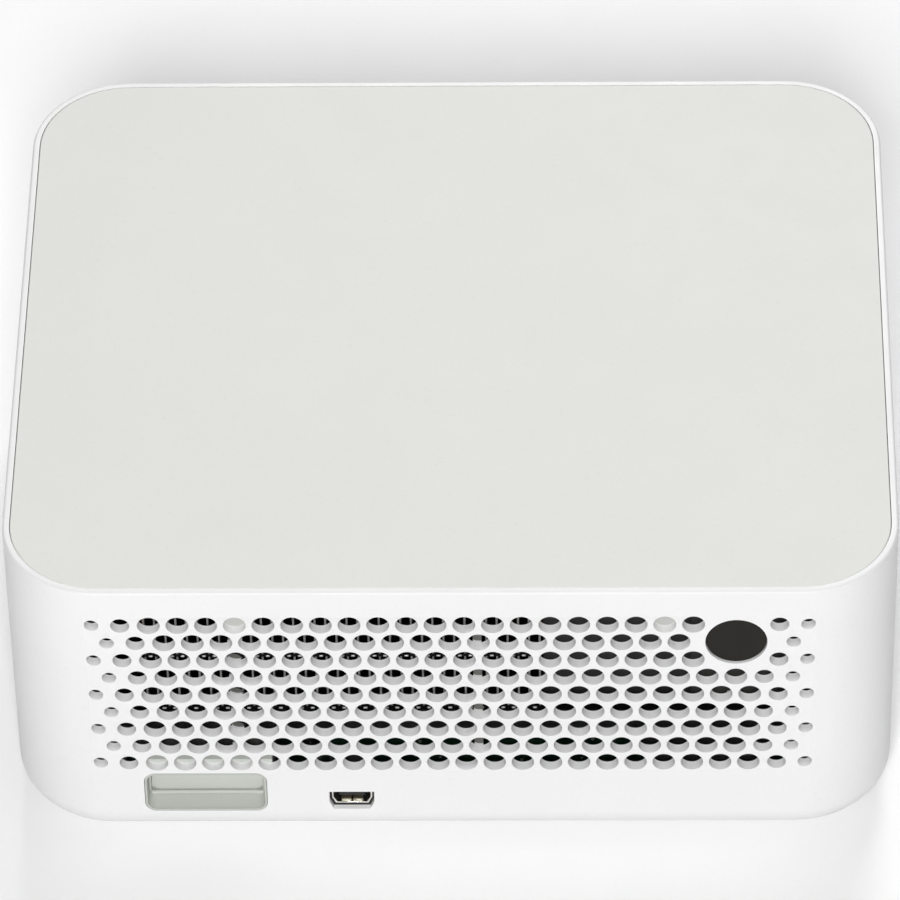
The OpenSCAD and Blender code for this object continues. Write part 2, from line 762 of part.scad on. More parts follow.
module audio_jack() color(dark)
    difference() {
        span([socket_x, jack_y - 3.5, board_top], [socket_x + 12, jack_y + 3.5, board_top + 6]);
        along_x(jack_y, board_top + 3, jack_r, socket_x - 1, socket_x + 13);
    }

module dc_inlet() color(dark) {
    difference() {
        span([socket_x, dc_y - 5.5, board_top], [socket_x + 13, dc_y + 5.5, board_top + 10]);
        along_x(dc_y, board_top + 5, 2.85, socket_x - 1, socket_x + 9.5);
    }
    along_x(dc_y, board_top + 5, 1, socket_x + 1, socket_x + 10);
}

module power_board() color(board_green) {
    low = deck_z + 2;
    top = low + 1.6;
    y0 = front_y + 8;
    y1 = blower_y0 - 4;
    power_w = blower_x1 - blower_x0 - 6;
    for (px = [4, power_w - 4])
        for (py = [y0 + 4, y1 - 4]) translate([blower_x0 + px, py, deck_z]) cylinder(r = 2, h = 2);
    span([blower_x0, y0, low - eps], [blower_x0 + power_w, y1, top]);
    for (i = [0 : 2]) {
        translate([blower_x0 + 12 + i * (power_w - 26) / 2, y0 + 10, top - eps]) cylinder(r = 5, h = 16);
        translate([blower_x0 + 4 + i * (power_w - 24) / 2, y1 - 14, top - eps]) cube([11, 11, 7.4]);
    }
}

// ---------- power button ----------

module power_button() color(white) {
    along_x(button_y, button_z, button_r, side_in - 3.6, body_w / 2);
    along_x(button_y, button_z, button_r + 1, side_in - 0.2 - flange_t, side_in - 0.2);
}

module switch_board() color(board_green) {
    x1 = side_in - 3.6 - button_stroke - 0.2;
    span([x1 - 5, button_y - 6, deck_z], [x1 - 3.5, button_y + 6, button_z + 6]);
    span([x1 - 3.5, button_y - 3, button_z - 3], [x1 - 1.2, button_y + 3, button_z + 3]);
    along_x(button_y, button_z, 1.6, x1 - 1.2 - eps, x1);
}

// ---------- speakers ----------

module speaker_boxes() color(dark)
    for (side = [0, 1])
        mirror([side, 0, 0])
            difference() {
                span([side_in - 0.3 - speaker_t, speaker_y0, deck_z],
                    [side_in - 0.3, speaker_y1, speaker_top]);
                along_x(side_y, speaker_mid_z, cone_r + 0.3, side_in - 9.3, side_in + 1);
            }

module speaker_cones() color("#3c3c3c")
    for (side = [-1, 1])
        translate([side * (side_in - 0.3), side_y, speaker_mid_z])
            rotate([0, side * 90, 0])
                rotate_extrude()
                    polygon([[0, -6], [0, -3], [4, -2.4], [5, -3.4], [cone_r - 2, -1.2], [cone_r, -1.2],
                        [cone_r, -2.4], [cone_r - 2, -2.4], [6, -6], [6, -9], [0, -9]]);

// ---------- light engine ----------

// Plan of the engine: prism chamber in front, lamp arm behind it.
module engine_plan(inset) {
    translate([engine_x0 + inset, engine_y + inset])
        square([engine_x1 - engine_x0 - 2 * inset, prism_d - 2 * inset]);
    translate([engine_x0 + inset, engine_y + inset])
        square([arm_x1 - engine_x0 - 2 * inset, arm_y1 - engine_y - 2 * inset]);
}

module engine_case() color("#26282a")
    difference() {
        translate([0, 0, deck_z]) linear_extrude(engine_top - deck_z) engine_plan(0);
        translate([0, 0, deck_z + engine_t]) linear_extrude(engine_top) engine_plan(engine_t);
        along_y(lens_x, lens_z, cell_r + set_clear, engine_y - 1, engine_y + engine_t + 1);
        along_y(arm_mid_x, lens_z, 4, arm_y1 - engine_t - 1, arm_y1 + 1);
        along_x(led_y, lens_z, 4, engine_x0 - 1, engine_x0 + engine_t + 1);
        along_x(led_y, lens_z, 4, arm_x1 - engine_t - 1, arm_x1 + 1);
        span([engine_x1 - engine_t - 1, chip_y - 6, lens_z - 5], [engine_x1 + 1, chip_y + 6, lens_z + 5]);
    }

module engine_lid() color("#3a3d40")
    translate([0, 0, engine_top]) linear_extrude(engine_lid_t) engine_plan(0);

module prism() color(glass) {
    x0 = lens_x - prism_size / 2 + 2;
    y0 = chip_y - prism_size / 2;
    difference() {
        span([x0, y0, deck_z + engine_t], [x0 + prism_size, y0 + prism_size, lens_z + prism_size / 2]);
        // Air gap between the two halves
        translate([x0 + prism_size / 2, y0 + prism_size / 2, 0])
            rotate(45) span([-0.05, -prism_size, deck_z + engine_t + 1], [0.05, prism_size, body_h]);
    }
    // Relay lenses on their feet, in the lamp arm
    for (i = [0 : 1])
        translate([arm_mid_x, arm_y0 + 3 + i * 8, 0]) {
            intersection() {
                along_y(0, lens_z, relay_r, -2, 2);
                union() {
                    translate([0, -14, lens_z]) sphere(r = 16);
                    span([-relay_r, -2, lens_z - relay_r], [relay_r, 0, lens_z + relay_r]);
                }
            }
            span([-4, -1.5, deck_z + engine_t], [4, -0.5, lens_z - relay_r + 0.8]);
        }
}

module imaging_chip() color("#7d7a52") {
    translate([engine_x1, chip_y - 5.5, lens_z - 4.5]) cube([1.5, 11, 9]);
    span([engine_x1 + 1.5 - eps, chip_y - 12, deck_z], [engine_x1 + 2.7, chip_y + 12, lens_z + 12]);
    for (i = [0 : 5])
        translate([engine_x1 + 2.7 - eps, chip_y - 6.5 + i * 2.4, lens_z - 7]) cube([5.3 + eps, 1, 14]);
}

module led_modules() color("#d8d5c8") {
    for (x = [engine_x0 - led_t, arm_x1])
        translate([x, led_y - led_size / 2, lens_z - led_size / 2]) cube([led_t, led_size, led_size]);
    translate([arm_mid_x - led_size / 2, arm_y1, lens_z - led_size / 2]) cube([led_size, led_t, led_size]);
}

module copper_blocks() color(copper) {
    half = led_size / 2 + 2;
    difference() {
        span([arm_x1 + led_t, led_y - half, deck_z], [arm_x1 + led_t + block_t, led_y + half, lens_z + 7]);
        along_y(side_pipe_x, pipe_low_z, pipe_r, led_y - half - 1, led_y + half + 1);
    }
    difference() {
        span([arm_mid_x - 8, arm_y1 + led_t, deck_z], [arm_mid_x + 8, pipe_y + 7, pipe_high_z + 5]);
        along_x(pipe_y, pipe_high_z, pipe_r, arm_mid_x - 9, arm_mid_x + 9);
    }
    // Block with its own fins, by the side intake
    translate([engine_x0 - led_t - 4, led_y - half, deck_z]) cube([4, 2 * half, lens_z + 9 - deck_z]);
    for (i = [0 : 6])
        translate([engine_x0 - led_t - 12, led_y - half + i * 2.8, deck_z])
            cube([8 + eps, 1.2, lens_z + 9 - deck_z]);
}

module heat_pipes() color(copper) {
    along_x(pipe_y, pipe_high_z, pipe_r, arm_mid_x - 8, fins_x1 + 1);
    along_x(pipe_y, pipe_low_z, pipe_r, side_pipe_x + bend_r, fins_x1 + 1);
    along_y(side_pipe_x, pipe_low_z, pipe_r, led_y - 9, pipe_y - bend_r);
    translate([side_pipe_x + bend_r, pipe_y - bend_r, pipe_low_z])
        rotate(90) rotate_extrude(angle = 90) translate([bend_r, 0]) circle(r = pipe_r);
}

module fin_stack() color("#c9ccce")
    difference() {
        union() {
            for (z = [deck_z, fins_mid, fins_top - plate_gauge])
                span([fins_x0, fins_y0, z], [fins_x1, fins_y1, z + plate_gauge]);
            for (x = [fins_x0 : fin_pitch : fins_x1 - fin_t])
                span([x, fins_y0, deck_z], [x + fin_t, fins_y1, fins_top]);
        }
        for (z = [pipe_low_z, pipe_high_z]) along_x(pipe_y, z, pipe_r + 0.02, fins_x0 - 1, fins_x1 + 1);
    }

// ---------- blower ----------

module blower_case() color(dark) {
    difference() {
        span([blower_x0, blower_y0, deck_z], [blower_x1, blower_y1, blower_top]);
        translate([fan_x, fan_y, deck_z + fan_wall]) cylinder(r = impeller_r + 4, h = body_h);
        span([blower_x0 + fan_wall, fan_y + impeller_r / 2, deck_z + fan_wall],
            [blower_x1 - fan_wall, blower_y1 + 1, body_h]);
        translate([fan_x, fan_y, deck_z - 1]) cylinder(r = under_r, h = 10);
    }
    // Spider and bearing tube
    for (turn = [0, 120, 240])
        translate([fan_x, fan_y, deck_z]) rotate(turn) span([2, -1.5, 0], [under_r + 1, 1.5, fan_wall]);
    translate([fan_x, fan_y, deck_z])
        difference() {
            cylinder(r = fan_shaft_r + 2, h = 16);
            translate([0, 0, fan_wall]) cylinder(r = fan_shaft_r + run_clear, h = 20);
        }
}

module blower_lid() color(dark)
    difference() {
        span([blower_x0, blower_y0, blower_top], [blower_x1, blower_y1, blower_top + blower_lid_t]);
        translate([fan_x, fan_y, blower_top - 1]) cylinder(r = inlet_r, h = 4);
    }

module impeller() color("#1c1c1c") {
    z0 = deck_z + fan_wall + 0.8;
    z1 = blower_top - 1.2;
    translate([fan_x, fan_y, 0]) {
        translate([0, 0, z0]) cylinder(r = fan_shaft_r, h = z1 - z0);
        difference() {
            translate([0, 0, z0]) cylinder(r = fan_hub_r, h = z1 - z0);
            translate([0, 0, z0 - 1]) cylinder(r = fan_hub_r - 1.2, h = z1 - z0 - 0.5);
        }
        difference() {
            translate([0, 0, z0 + 8]) cylinder(r = impeller_r, h = 1.2);
            translate([0, 0, z0 + 7]) cylinder(r = fan_hub_r - 0.5, h = 4);
        }
        for (i = [0 : blades - 1])
            rotate(i * 360 / blades) span([impeller_r - 7, -0.4, z0], [impeller_r - 0.3, 0.4, z1]);
        difference() {
            translate([0, 0, z1 - 1.2]) cylinder(r = impeller_r, h = 1.2);
            translate([0, 0, z1 - 2]) cylinder(r = impeller_r - 2.2, h = 3);
        }
    }
}

// ---------- lens ----------

module lens_barrel() color(dark)
    difference() {
        union() {
            along_y(lens_x, lens_z, barrel_r, barrel_y, engine_y);
            along_y(lens_x, lens_z, ring_r - 1.7, ring_y + ring_w + 0.3, ring_y + ring_w + 2.5);
            along_y(lens_x, lens_z, barrel_r + 3, engine_y - 2, engine_y);
        }
        along_y(lens_x, lens_z, cell_r + run_clear, barrel_y - 1, engine_y + 1);
    }

module rear_lens() color(glass)
    along_y(lens_x, lens_z, cell_r + run_clear, engine_y - 10, engine_y - 4);

module focus_ring() color("#2f3133")
    translate([lens_x, ring_y + ring_w, lens_z])
        rotate([90, 0, 0])
            difference() {
                linear_extrude(ring_w) rotate(180 / ring_teeth * (ring_teeth % 2)) gear(ring_teeth, gear_m);
                translate([0, 0, -1]) cylinder(r = barrel_r + run_clear, h = ring_w + 2);
            }

module focus_pinion() color("#d9d6cc")
    translate([pinion_x, ring_y + ring_w, lens_z])
        rotate([90, 0, 0]) {
            linear_extrude(ring_w) rotate(180 / pinion_teeth) gear(pinion_teeth, gear_m);
            translate([0, 0, -6]) cylinder(r = focus_shaft_r, h = 6.5);
        }

module focus_motor() color("#8f9296") {
    y0 = ring_y + ring_w + 0.8;
    difference() {
        along_y(pinion_x, lens_z, focus_motor_r, y0, y0 + focus_motor_l);
        along_y(pinion_x, lens_z, focus_shaft_r + run_clear, y0 - 1, y0 + 6);
    }
    span([pinion_x - 3, y0 + 2, deck_z],
        [pinion_x + 3, y0 + focus_motor_l - 1, lens_z - focus_motor_r + 0.3]);
}

module lens_cell() color("#1a1b1c")
    difference() {
        along_y(lens_x, lens_z, cell_r, barrel_y - 2.5, barrel_y + 15);
        along_y(lens_x, lens_z, cell_r - 1, barrel_y - 3, barrel_y + 6);
        along_y(lens_x, lens_z, cell_r - 2.5, barrel_y, barrel_y + 16);
    }

module front_lens() color(glass)
    intersection() {
        along_y(lens_x, lens_z, cell_r - 1, barrel_y - 2, barrel_y + 6);
        translate([lens_x, barrel_y + 21.5, lens_z]) sphere(r = 23);
    }

// ---------- disc drive ----------

module drive_lower_case() color(steel) {
    x = drive_w / 2 - sheet;
    top = drive_top - sheet;
    difference() {
        span([-x, case_y, drive_z], [x, case_rear - sheet, top]);
        span([-x + sheet, case_y - 1, drive_z + sheet], [x - sheet, case_rear - 2 * sheet, top + 1]);
    }
}

module drive_upper_case() color(steel) {
    top = drive_top;
    difference() {
        span([-drive_w / 2, case_y, top - 7], [drive_w / 2, case_rear, top]);
        span([-drive_w / 2 + sheet, case_y - 1, top - 8],
            [drive_w / 2 - sheet, case_rear - sheet, top - sheet]);
    }
}

module drive_connector() color(dark) {
    translate([4 - drive_w / 2, case_rear, 0]) {
        span([0, 0.1, drive_z + 1], [26, 4, drive_z + 5]);
        span([4, 1.5, board_top], [22, 1.8, drive_z + 1 + eps]);
        span([3, 0.8, board_top], [23, 2.6, board_top + 2.4]);
    }
}

module slide_rails() color("#c4c7cb")
    for (side = [0, 1])
        mirror([side, 0, 0])
            span([skirt_x + slide_clear, case_y + 6, plate_z + fit_gap],
                [wing_x, case_rear - 14.1, deck_low - 0.4]);

// Places its children over the spindle, with +X along the pickup's travel.
module traverse() {
    translate([0, spindle_y, 0]) rotate(travel_angle) children();
}

module tray() color("#2f3031") {
    difference() {
        union() {
            span([-wing_x, tray_y, deck_low], [wing_x, tray_rear, deck_top]);
            span([-skirt_x, tray_y, skirt_low], [skirt_x, tray_rear, deck_low + eps]);
        }
        span([skirt_t - skirt_x, tray_y + skirt_t, skirt_low - 1],
            [skirt_x - skirt_t, tray_rear - 0.8, deck_low]);
        translate([0, spindle_y, recess_z]) cylinder(r = recess_r, h = 5, $fn = 96);
        translate([0, spindle_y, recess_z - 0.4]) cylinder(r = 41, h = 5, $fn = 96);
        translate([0, spindle_y, deck_low - 1]) cylinder(r = 16, h = 5);
        // Slot that the pickup's lens looks through
        traverse() span([0, -6, deck_low - 1], [track_out + 4.6, 6, recess_z + 0.1]);
        // Way through for the button that opens the tray
        translate([eject_x - eject_w / 2 - 0.3, tray_y - 1, eject_z - eject_h / 2 - 0.3])
            cube([eject_w + 0.6, skirt_t + 2, eject_h + 0.6]);
        // Finger hollows at the front of the disc
        for (sx = [-22, 22])
            translate([sx, spindle_y - recess_r, recess_z - 0.4]) cylinder(r = finger_r, h = 5);
    }
}

module tray_bezel() color(white)
    difference() {
        panel_y(0, drive_z + drive_h / 2, drive_w, drive_h, 1.2, front_y, tray_y);
        translate([eject_x - eject_w / 2 - fit_gap, front_y - 1, eject_z - eject_h / 2 - fit_gap])
            cube([eject_w + 2 * fit_gap, bezel_t + 2, eject_h + 2 * fit_gap]);
        // Release hole and lamp hole
        along_y(eject_x - 12, eject_z, 0.6, front_y - 1, tray_y + 1);
        along_y(eject_x + 10, eject_z, 0.8, front_y - 1, front_y + 1.4);
    }

module eject_button() color("#dededa") {
    translate([eject_x - eject_w / 2, front_y, eject_z - eject_h / 2]) cube([eject_w, bezel_t + 3, eject_h]);
    translate([eject_x - eject_w / 2 - 1, tray_y + skirt_t + 0.1, eject_z - eject_h / 2])
        cube([eject_w + 2, 2.9 - skirt_t, eject_h]);
}

module traverse_plate() color(steel) {
    difference() {
        span([fit_gap - skirt_x, tray_y + 0.3, plate_z], [skirt_x - fit_gap, tray_rear - fit_gap, skirt_low]);
        for (sx = [-38, 38]) translate([sx, spindle_y + 32, plate_z - 1]) cylinder(r = 12, h = 3);
    }
    // Lugs that hold the rods and the end of the screw
    traverse() {
        for (s = [rod_s0 - 0.3, rod_s1 - 1.7])
            for (t = [-rod_t, rod_t])
                difference() {
                    span([s, t - 2, skirt_low - eps], [s + lug_t, t + 2, lug_top]);
                    along_x(t, rod_z, rod_r, s - 1, s + 3);
                }
        difference() {
            span([rod_s1 - 1.7, lead_t - 2.2, skirt_low - eps], [rod_s1 + 0.3, lead_t + 2.2, lug_top]);
            along_x(lead_t, rod_z, screw_r + run_clear, rod_s1 - 3, rod_s1 + 3);
        }
    }
}

module guide_rods() color("#d5d8db")
    traverse() for (t = [-rod_t, rod_t]) along_x(t, rod_z, rod_r, rod_s0 - 0.3, rod_s1 + 0.3);

module spindle_motor() color("#a9adb1")
    translate([0, spindle_y, skirt_low])
        difference() {
            cylinder(r = 11.5, h = deck_low + 0.3 - skirt_low);
            translate([0, 0, 0.4]) cylinder(r = spindle_r + run_clear, h = 20);
        }

module turntable() color("#202122")
    translate([0, spindle_y, 0]) {
        translate([0, 0, skirt_low + 0.7]) cylinder(r = spindle_r, h = deck_low + 1 - skirt_low);
        translate([0, 0, deck_low + 0.6]) cylinder(r = table_r, h = 1.2);
        translate([0, 0, deck_low + 1.8 - eps]) cylinder(r1 = hub_r, r2 = hub_r - 0.85, h = 1.7);
    }

module pickup_sled() color("#4a4d50")
    traverse() {
        difference() {
            union() {
                span([track_in - sled_l / 2, -sled_w / 2, sled_low],
                    [track_in + sled_l / 2, sled_w / 2, sled_top]);
                span([track_in - 3, sled_w / 2 - eps, sled_low], [track_in + 3, lead_t + 2.3, sled_top]);
            }
            for (t = [-rod_t, rod_t])
                along_x(t, rod_z, rod_r + run_clear, track_in - sled_l, track_in + sled_l);
            along_x(lead_t, rod_z, screw_r + run_clear, track_in - sled_l, track_in + sled_l);
        }
        span([track_in - 4, -5, rod_z + 2], [track_in + 4, 5, recess_z - 0.5]);
        translate([track_in, 0, recess_z - 0.5 - eps]) cylinder(r = 2, h = 0.4);
    }

module lead_screw() color("#e0e2e4")
    traverse() along_x(lead_t, rod_z, screw_r, motor_s1 - 2, rod_s1 + 0.2);

module sled_motor() color("#8f9296")
    traverse()
        difference() {
            union() {
                along_x(lead_t, rod_z, motor_r, motor_s1 - motor_len, motor_s1);
                span([motor_s1 - motor_len + 1, lead_t - 2, skirt_low],
                    [motor_s1 - 1, lead_t + 2, rod_z - 1]);
            }
            along_x(lead_t, rod_z, screw_r + run_clear, motor_s1 - 2.3, motor_s1 + 1);
        }

housing_shell();
top_cover();
base_cover();
base_screws();
rubber_feet();
tripod_insert();
kickstand();
front_window();
ir_window();
ir_receiver();
air_baffle();
mid_frame();
inner_screws();
main_board();
main_chips();
service_port();
dongle_sleeve();
dongle_door();
dongle_socket();
hdmi_socket();
usb_socket();
audio_jack();
dc_inlet();
power_board();
power_button();
switch_board();
speaker_boxes();
speaker_cones();
engine_case();
engine_lid();
prism();
imaging_chip();
led_modules();
copper_blocks();
heat_pipes();
fin_stack();
blower_case();
blower_lid();
impeller();
lens_barrel();
rear_lens();
focus_ring();
focus_motor();
focus_pinion();
lens_cell();
front_lens();
drive_lower_case();
drive_upper_case();
drive_connector();
slide_rails();
tray();
tray_bezel();
eject_button();
traverse_plate();
guide_rods();
spindle_motor();
turntable();
pickup_sled();
lead_screw();
sled_motor();
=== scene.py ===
"""Small white projector with a disc tray: finishes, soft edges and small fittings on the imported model."""

import json
import math

import bmesh
import bpy
from mathutils import Matrix, Vector

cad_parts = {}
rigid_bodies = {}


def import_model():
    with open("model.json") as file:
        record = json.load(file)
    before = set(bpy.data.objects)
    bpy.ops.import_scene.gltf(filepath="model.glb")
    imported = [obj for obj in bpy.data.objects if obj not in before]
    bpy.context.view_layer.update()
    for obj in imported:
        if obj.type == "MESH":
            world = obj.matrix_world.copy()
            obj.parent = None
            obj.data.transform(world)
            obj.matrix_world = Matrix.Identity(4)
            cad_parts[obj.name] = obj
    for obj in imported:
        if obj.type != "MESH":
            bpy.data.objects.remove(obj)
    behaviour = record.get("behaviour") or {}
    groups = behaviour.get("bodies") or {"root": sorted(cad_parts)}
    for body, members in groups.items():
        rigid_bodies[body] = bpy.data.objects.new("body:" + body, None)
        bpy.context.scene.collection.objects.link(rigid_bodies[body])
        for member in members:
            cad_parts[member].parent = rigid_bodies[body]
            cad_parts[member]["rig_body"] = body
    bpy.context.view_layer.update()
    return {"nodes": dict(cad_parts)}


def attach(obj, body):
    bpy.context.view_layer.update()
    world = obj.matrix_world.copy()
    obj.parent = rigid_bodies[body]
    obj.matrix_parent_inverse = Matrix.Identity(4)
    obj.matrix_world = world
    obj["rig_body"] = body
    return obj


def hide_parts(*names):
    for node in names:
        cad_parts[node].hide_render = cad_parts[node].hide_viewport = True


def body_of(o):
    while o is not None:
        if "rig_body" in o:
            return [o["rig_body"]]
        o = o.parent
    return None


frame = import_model()

MM = 0.001
CHASSIS = "chassis"

# ---------- camera, light and floor ----------


def aim(thing, place, target):
    """Puts a light at a place in metres, facing a target."""
    thing.location = place
    thing.rotation_mode = "QUATERNION"
    thing.rotation_quaternion = (Vector(target) - Vector(place)).to_track_quat("-Z", "Y")


def camera():
    """Looks down on the rear face and the top, as the photograph does."""
    place = Vector((-0.0248274, 0.970837, 0.9699824))
    right = Vector((-0.99981081, -0.01176342, -0.01549064))
    up = Vector((-0.00298401, -0.69420687, 0.71976935))
    forward = Vector((0.01922066, -0.7196794, -0.69404043))
    data = bpy.data.cameras.new("camera")
    data.sensor_width = 36
    data.lens = 280.286
    data.clip_start = 0.05
    data.clip_end = 20
    made = bpy.data.objects.new("camera", data)
    bpy.context.scene.collection.objects.link(made)
    turn = Matrix((right, up, -forward)).transposed().to_4x4()
    made.matrix_world = Matrix.Translation(place) @ turn
    bpy.context.scene.camera = made


def softbox(name, place, target, width, height, watts):
    """A rectangular studio light."""
    data = bpy.data.lights.new(name, "AREA")
    data.shape = "RECTANGLE"
    data.size = width
    data.size_y = height
    data.energy = watts
    made = bpy.data.objects.new(name, data)
    bpy.context.scene.collection.objects.link(made)
    aim(made, place, target)


def studio():
    """Large soft lights behind the camera and above, with a weak fill on the front."""
    world = bpy.data.worlds.new("studio")
    world.use_nodes = True
    background = world.node_tree.nodes["Background"]
    background.inputs["Color"].default_value = (1, 1, 1, 1)
    background.inputs["Strength"].default_value = 0.03
    bpy.context.scene.world = world
    middle = (0, 0, 0.03)
    softbox("rear_softbox", (0.05, 1.65, 1.38), middle, 0.5, 0.5, 39.5)
    softbox("top_softbox", (-0.05, 0.2, 2.0), middle, 1.2, 1.2, 4)
    softbox("front_softbox", (-0.15, -1.5, 1.2), middle, 0.8, 0.5, 21)
    look = bpy.context.scene.view_settings
    look.view_transform = "Standard"
    look.look = "None"


# ---------- finishes ----------


def srgb(*levels):
    """Linear colour from display levels of 0 to 255."""
    return tuple((v / 255 / 12.92) if v <= 10 else ((v / 255 + 0.055) / 1.055) ** 2.4 for v in levels)


WAVES_PER_UNIT = 1 / 3.1831


class Finish:
    """A node material while it is being built."""

    def __init__(self, name):
        self.material = bpy.data.materials.new(name)
        self.material.use_nodes = True
        self.nodes = self.material.node_tree.nodes
        self.link = self.material.node_tree.links.new
        self.shader = self.nodes["Principled BSDF"]
        self.place = self.nodes.new("ShaderNodeTexCoord").outputs["Object"]
        self.height = None

    def put(self, socket, value):
        """Links an output, or sets a plain value, on one of the shader's sockets."""
        if isinstance(value, bpy.types.NodeSocket):
            self.link(value, self.shader.inputs[socket])
        else:
            self.shader.inputs[socket].default_value = value

    def mapped(self, scale, centre=(0, 0, 0)):
        """Object coordinates about a centre, stretched by axis."""
        node = self.nodes.new("ShaderNodeMapping")
        self.link(self.place, node.inputs["Vector"])
        node.inputs["Scale"].default_value = scale
        node.inputs["Location"].default_value = [-s * c for s, c in zip(scale, centre)]
        return node.outputs["Vector"]

    def cloud(self, size, detail=2.0, vector=None, distortion=0.0):
        """Noise whose features are about size across."""
        node = self.nodes.new("ShaderNodeTexNoise")
        self.link(vector or self.place, node.inputs["Vector"])
        node.inputs["Scale"].default_value = 1 / size
        node.inputs["Detail"].default_value = detail
        node.inputs["Distortion"].default_value = distortion
        return node.outputs["Fac"]

    def cells(self, size):
        """Distance to the nearest point of cells that are about size across."""
        node = self.nodes.new("ShaderNodeTexVoronoi")
        self.link(self.place, node.inputs["Vector"])
        node.inputs["Scale"].default_value = 1 / size
        return node.outputs["Distance"]

    def rings(self, pitch, vector, axis, distortion=0.0):
        """Rings of one pitch about an axis."""
        node = self.nodes.new("ShaderNodeTexWave")
        node.wave_type = "RINGS"
        node.rings_direction = axis
        self.link(vector, node.inputs["Vector"])
        node.inputs["Scale"].default_value = WAVES_PER_UNIT / pitch
        node.inputs["Distortion"].default_value = distortion
        node.inputs["Detail"].default_value = 1
        return node.outputs["Fac"]

    def levels(self, value, low, high, to_low=0.0, to_high=1.0):
        """Value stretched from low..high to to_low..to_high."""
        node = self.nodes.new("ShaderNodeMapRange")
        self.link(value, node.inputs["Value"])
        for socket, number in zip(("From Min", "From Max", "To Min", "To Max"), (low, high, to_low, to_high)):
            node.inputs[socket].default_value = number
        return node.outputs["Result"]

    def sum(self, first, second, operation="ADD"):
        """Arithmetic on an output and an output or a number."""
        node = self.nodes.new("ShaderNodeMath")
        node.operation = operation
        self.link(first, node.inputs[0])
        if isinstance(second, bpy.types.NodeSocket):
            self.link(second, node.inputs[1])
        else:
            node.inputs[1].default_value = second
        return node.outputs[0]

    def within(self, centre, reach):
        """1 inside a block about a centre, 0 outside it."""
        axes = self.nodes.new("ShaderNodeSeparateXYZ")
        self.link(self.place, axes.inputs[0])
        whole = None
        for axis, middle, half in zip("XYZ", centre, reach):
            near = self.sum(axes.outputs[axis], middle, "COMPARE")
            near.node.inputs[2].default_value = half
            whole = near if whole is None else self.sum(whole, near, "MULTIPLY")
        return whole

    def mix(self, factor, first, second):
        """One colour fading into another."""
        node = self.nodes.new("ShaderNodeMix")
        node.data_type = "RGBA"
        self.link(factor, node.inputs["Factor"])
        for socket, colour in ((node.inputs["A"], first), (node.inputs["B"], second)):
            if isinstance(colour, bpy.types.NodeSocket):
                self.link(colour, socket)
            else:
                socket.default_value = (*colour, 1)
        return node.outputs["Result"]

    def edges(self, reach, strength=1.0):
        """1 along edges and corners, fading to 0 at reach."""
        soft = self.nodes.new("ShaderNodeBevel")
        soft.samples = 3
        soft.inputs["Radius"].default_value = reach
        true = self.nodes.new("ShaderNodeNewGeometry")
        dot = self.nodes.new("ShaderNodeVectorMath")
        dot.operation = "DOT_PRODUCT"
        self.link(soft.outputs["Normal"], dot.inputs[0])
        self.link(true.outputs["True Normal"], dot.inputs[1])
        return self.levels(dot.outputs["Value"], 0.985, 0.8, 0, strength)

    def relief(self, height, depth):
        """Adds surface relief of a real depth in metres."""
        node = self.nodes.new("ShaderNodeBump")
        node.inputs["Distance"].default_value = depth
        node.inputs["Strength"].default_value = 1
        self.link(height, node.inputs["Height"])
        if self.height is not None:
            self.link(self.height, node.inputs["Normal"])
        self.height = node.outputs["Normal"]
        self.put("Normal", self.height)


def moulding(
    name, colour, shade, rough, grain=0.22 * MM, depth=0.004 * MM,
    wear=0.3, rub=None, wave=0.01 * MM, inside=None, smear=0.06,
):
    """Injection-moulded plastic: spark-textured grain, faint flow shading, handled edges.

    The plastic can have painted shade, a darker tint inside a block, given as (tint, centre, reach) in
    millimetres.
    """
    f = Finish(name)
    flow = f.cloud(38 * MM, 3, distortion=0.6)
    tone = f.mix(f.levels(flow, 0.34, 0.66), colour, shade)
    speck = f.levels(f.cloud(0.9 * MM, 3), 0.58, 0.78, 0, 0.35)
    tone = f.mix(speck, tone, tuple(v * 0.9 for v in shade))
    edge = f.edges(0.45 * MM, wear)
    tone = f.mix(edge, tone, rub or tuple(min(1, v * 1.12 + 0.01) for v in colour))
    # Painted shade: the plastic takes the darker tint inside the block.
    if inside:
        tint, centre, reach = inside
        tone = f.mix(f.within([v * MM for v in centre], [v * MM for v in reach]), tone, tint)
    f.put("Base Color", tone)
    handled = f.levels(f.cloud(14 * MM, 4, distortion=1.2), 0.35, 0.7, rough - smear, rough + smear)
    f.put("Roughness", f.sum(handled, f.sum(edge, 0.25, "MULTIPLY"), "SUBTRACT"))
    f.relief(f.cloud(grain, 2), depth)
    f.relief(f.cloud(9 * MM, 1), wave)
    f.put("Specular IOR Level", 0.45)
    return f.material


def gloss_window(name, colour, shade, rough=0.06, coat=0.6, shine=0.5):
    """Polished dark plastic that passes infrared or light, with faint wiping marks."""
    f = Finish(name)
    f.put("Base Color", f.mix(f.levels(f.cloud(7 * MM, 2), 0.35, 0.7), colour, shade))
    wiped = f.cloud(1.5 * MM, 4, f.mapped((1, 6, 6)), 0.8)
    f.put("Roughness", f.levels(wiped, 0.3, 0.75, rough, rough + 0.1))
    f.put("Specular IOR Level", shine)
    f.put("Coat Weight", coat)
    f.put("Coat Roughness", 0.04)
    f.relief(f.cloud(6 * MM, 1), 0.012 * MM)
    return f.material


def rubber(name):
    """Moulded matt rubber with dust in its pores."""
    f = Finish(name)
    dust = f.levels(f.cloud(2.5 * MM, 4), 0.5, 0.8, 0, 0.5)
    tone = f.mix(f.levels(f.cloud(5 * MM, 3), 0.35, 0.65), srgb(38, 38, 39), srgb(52, 51, 50))
    f.put("Base Color", f.mix(dust, tone, srgb(82, 80, 76)))
    f.put("Roughness", f.levels(f.cloud(0.6 * MM, 2), 0.3, 0.7, 0.72, 0.9))
    f.put("Specular IOR Level", 0.3)
    f.relief(f.cloud(0.18 * MM, 3), 0.02 * MM)
    return f.material


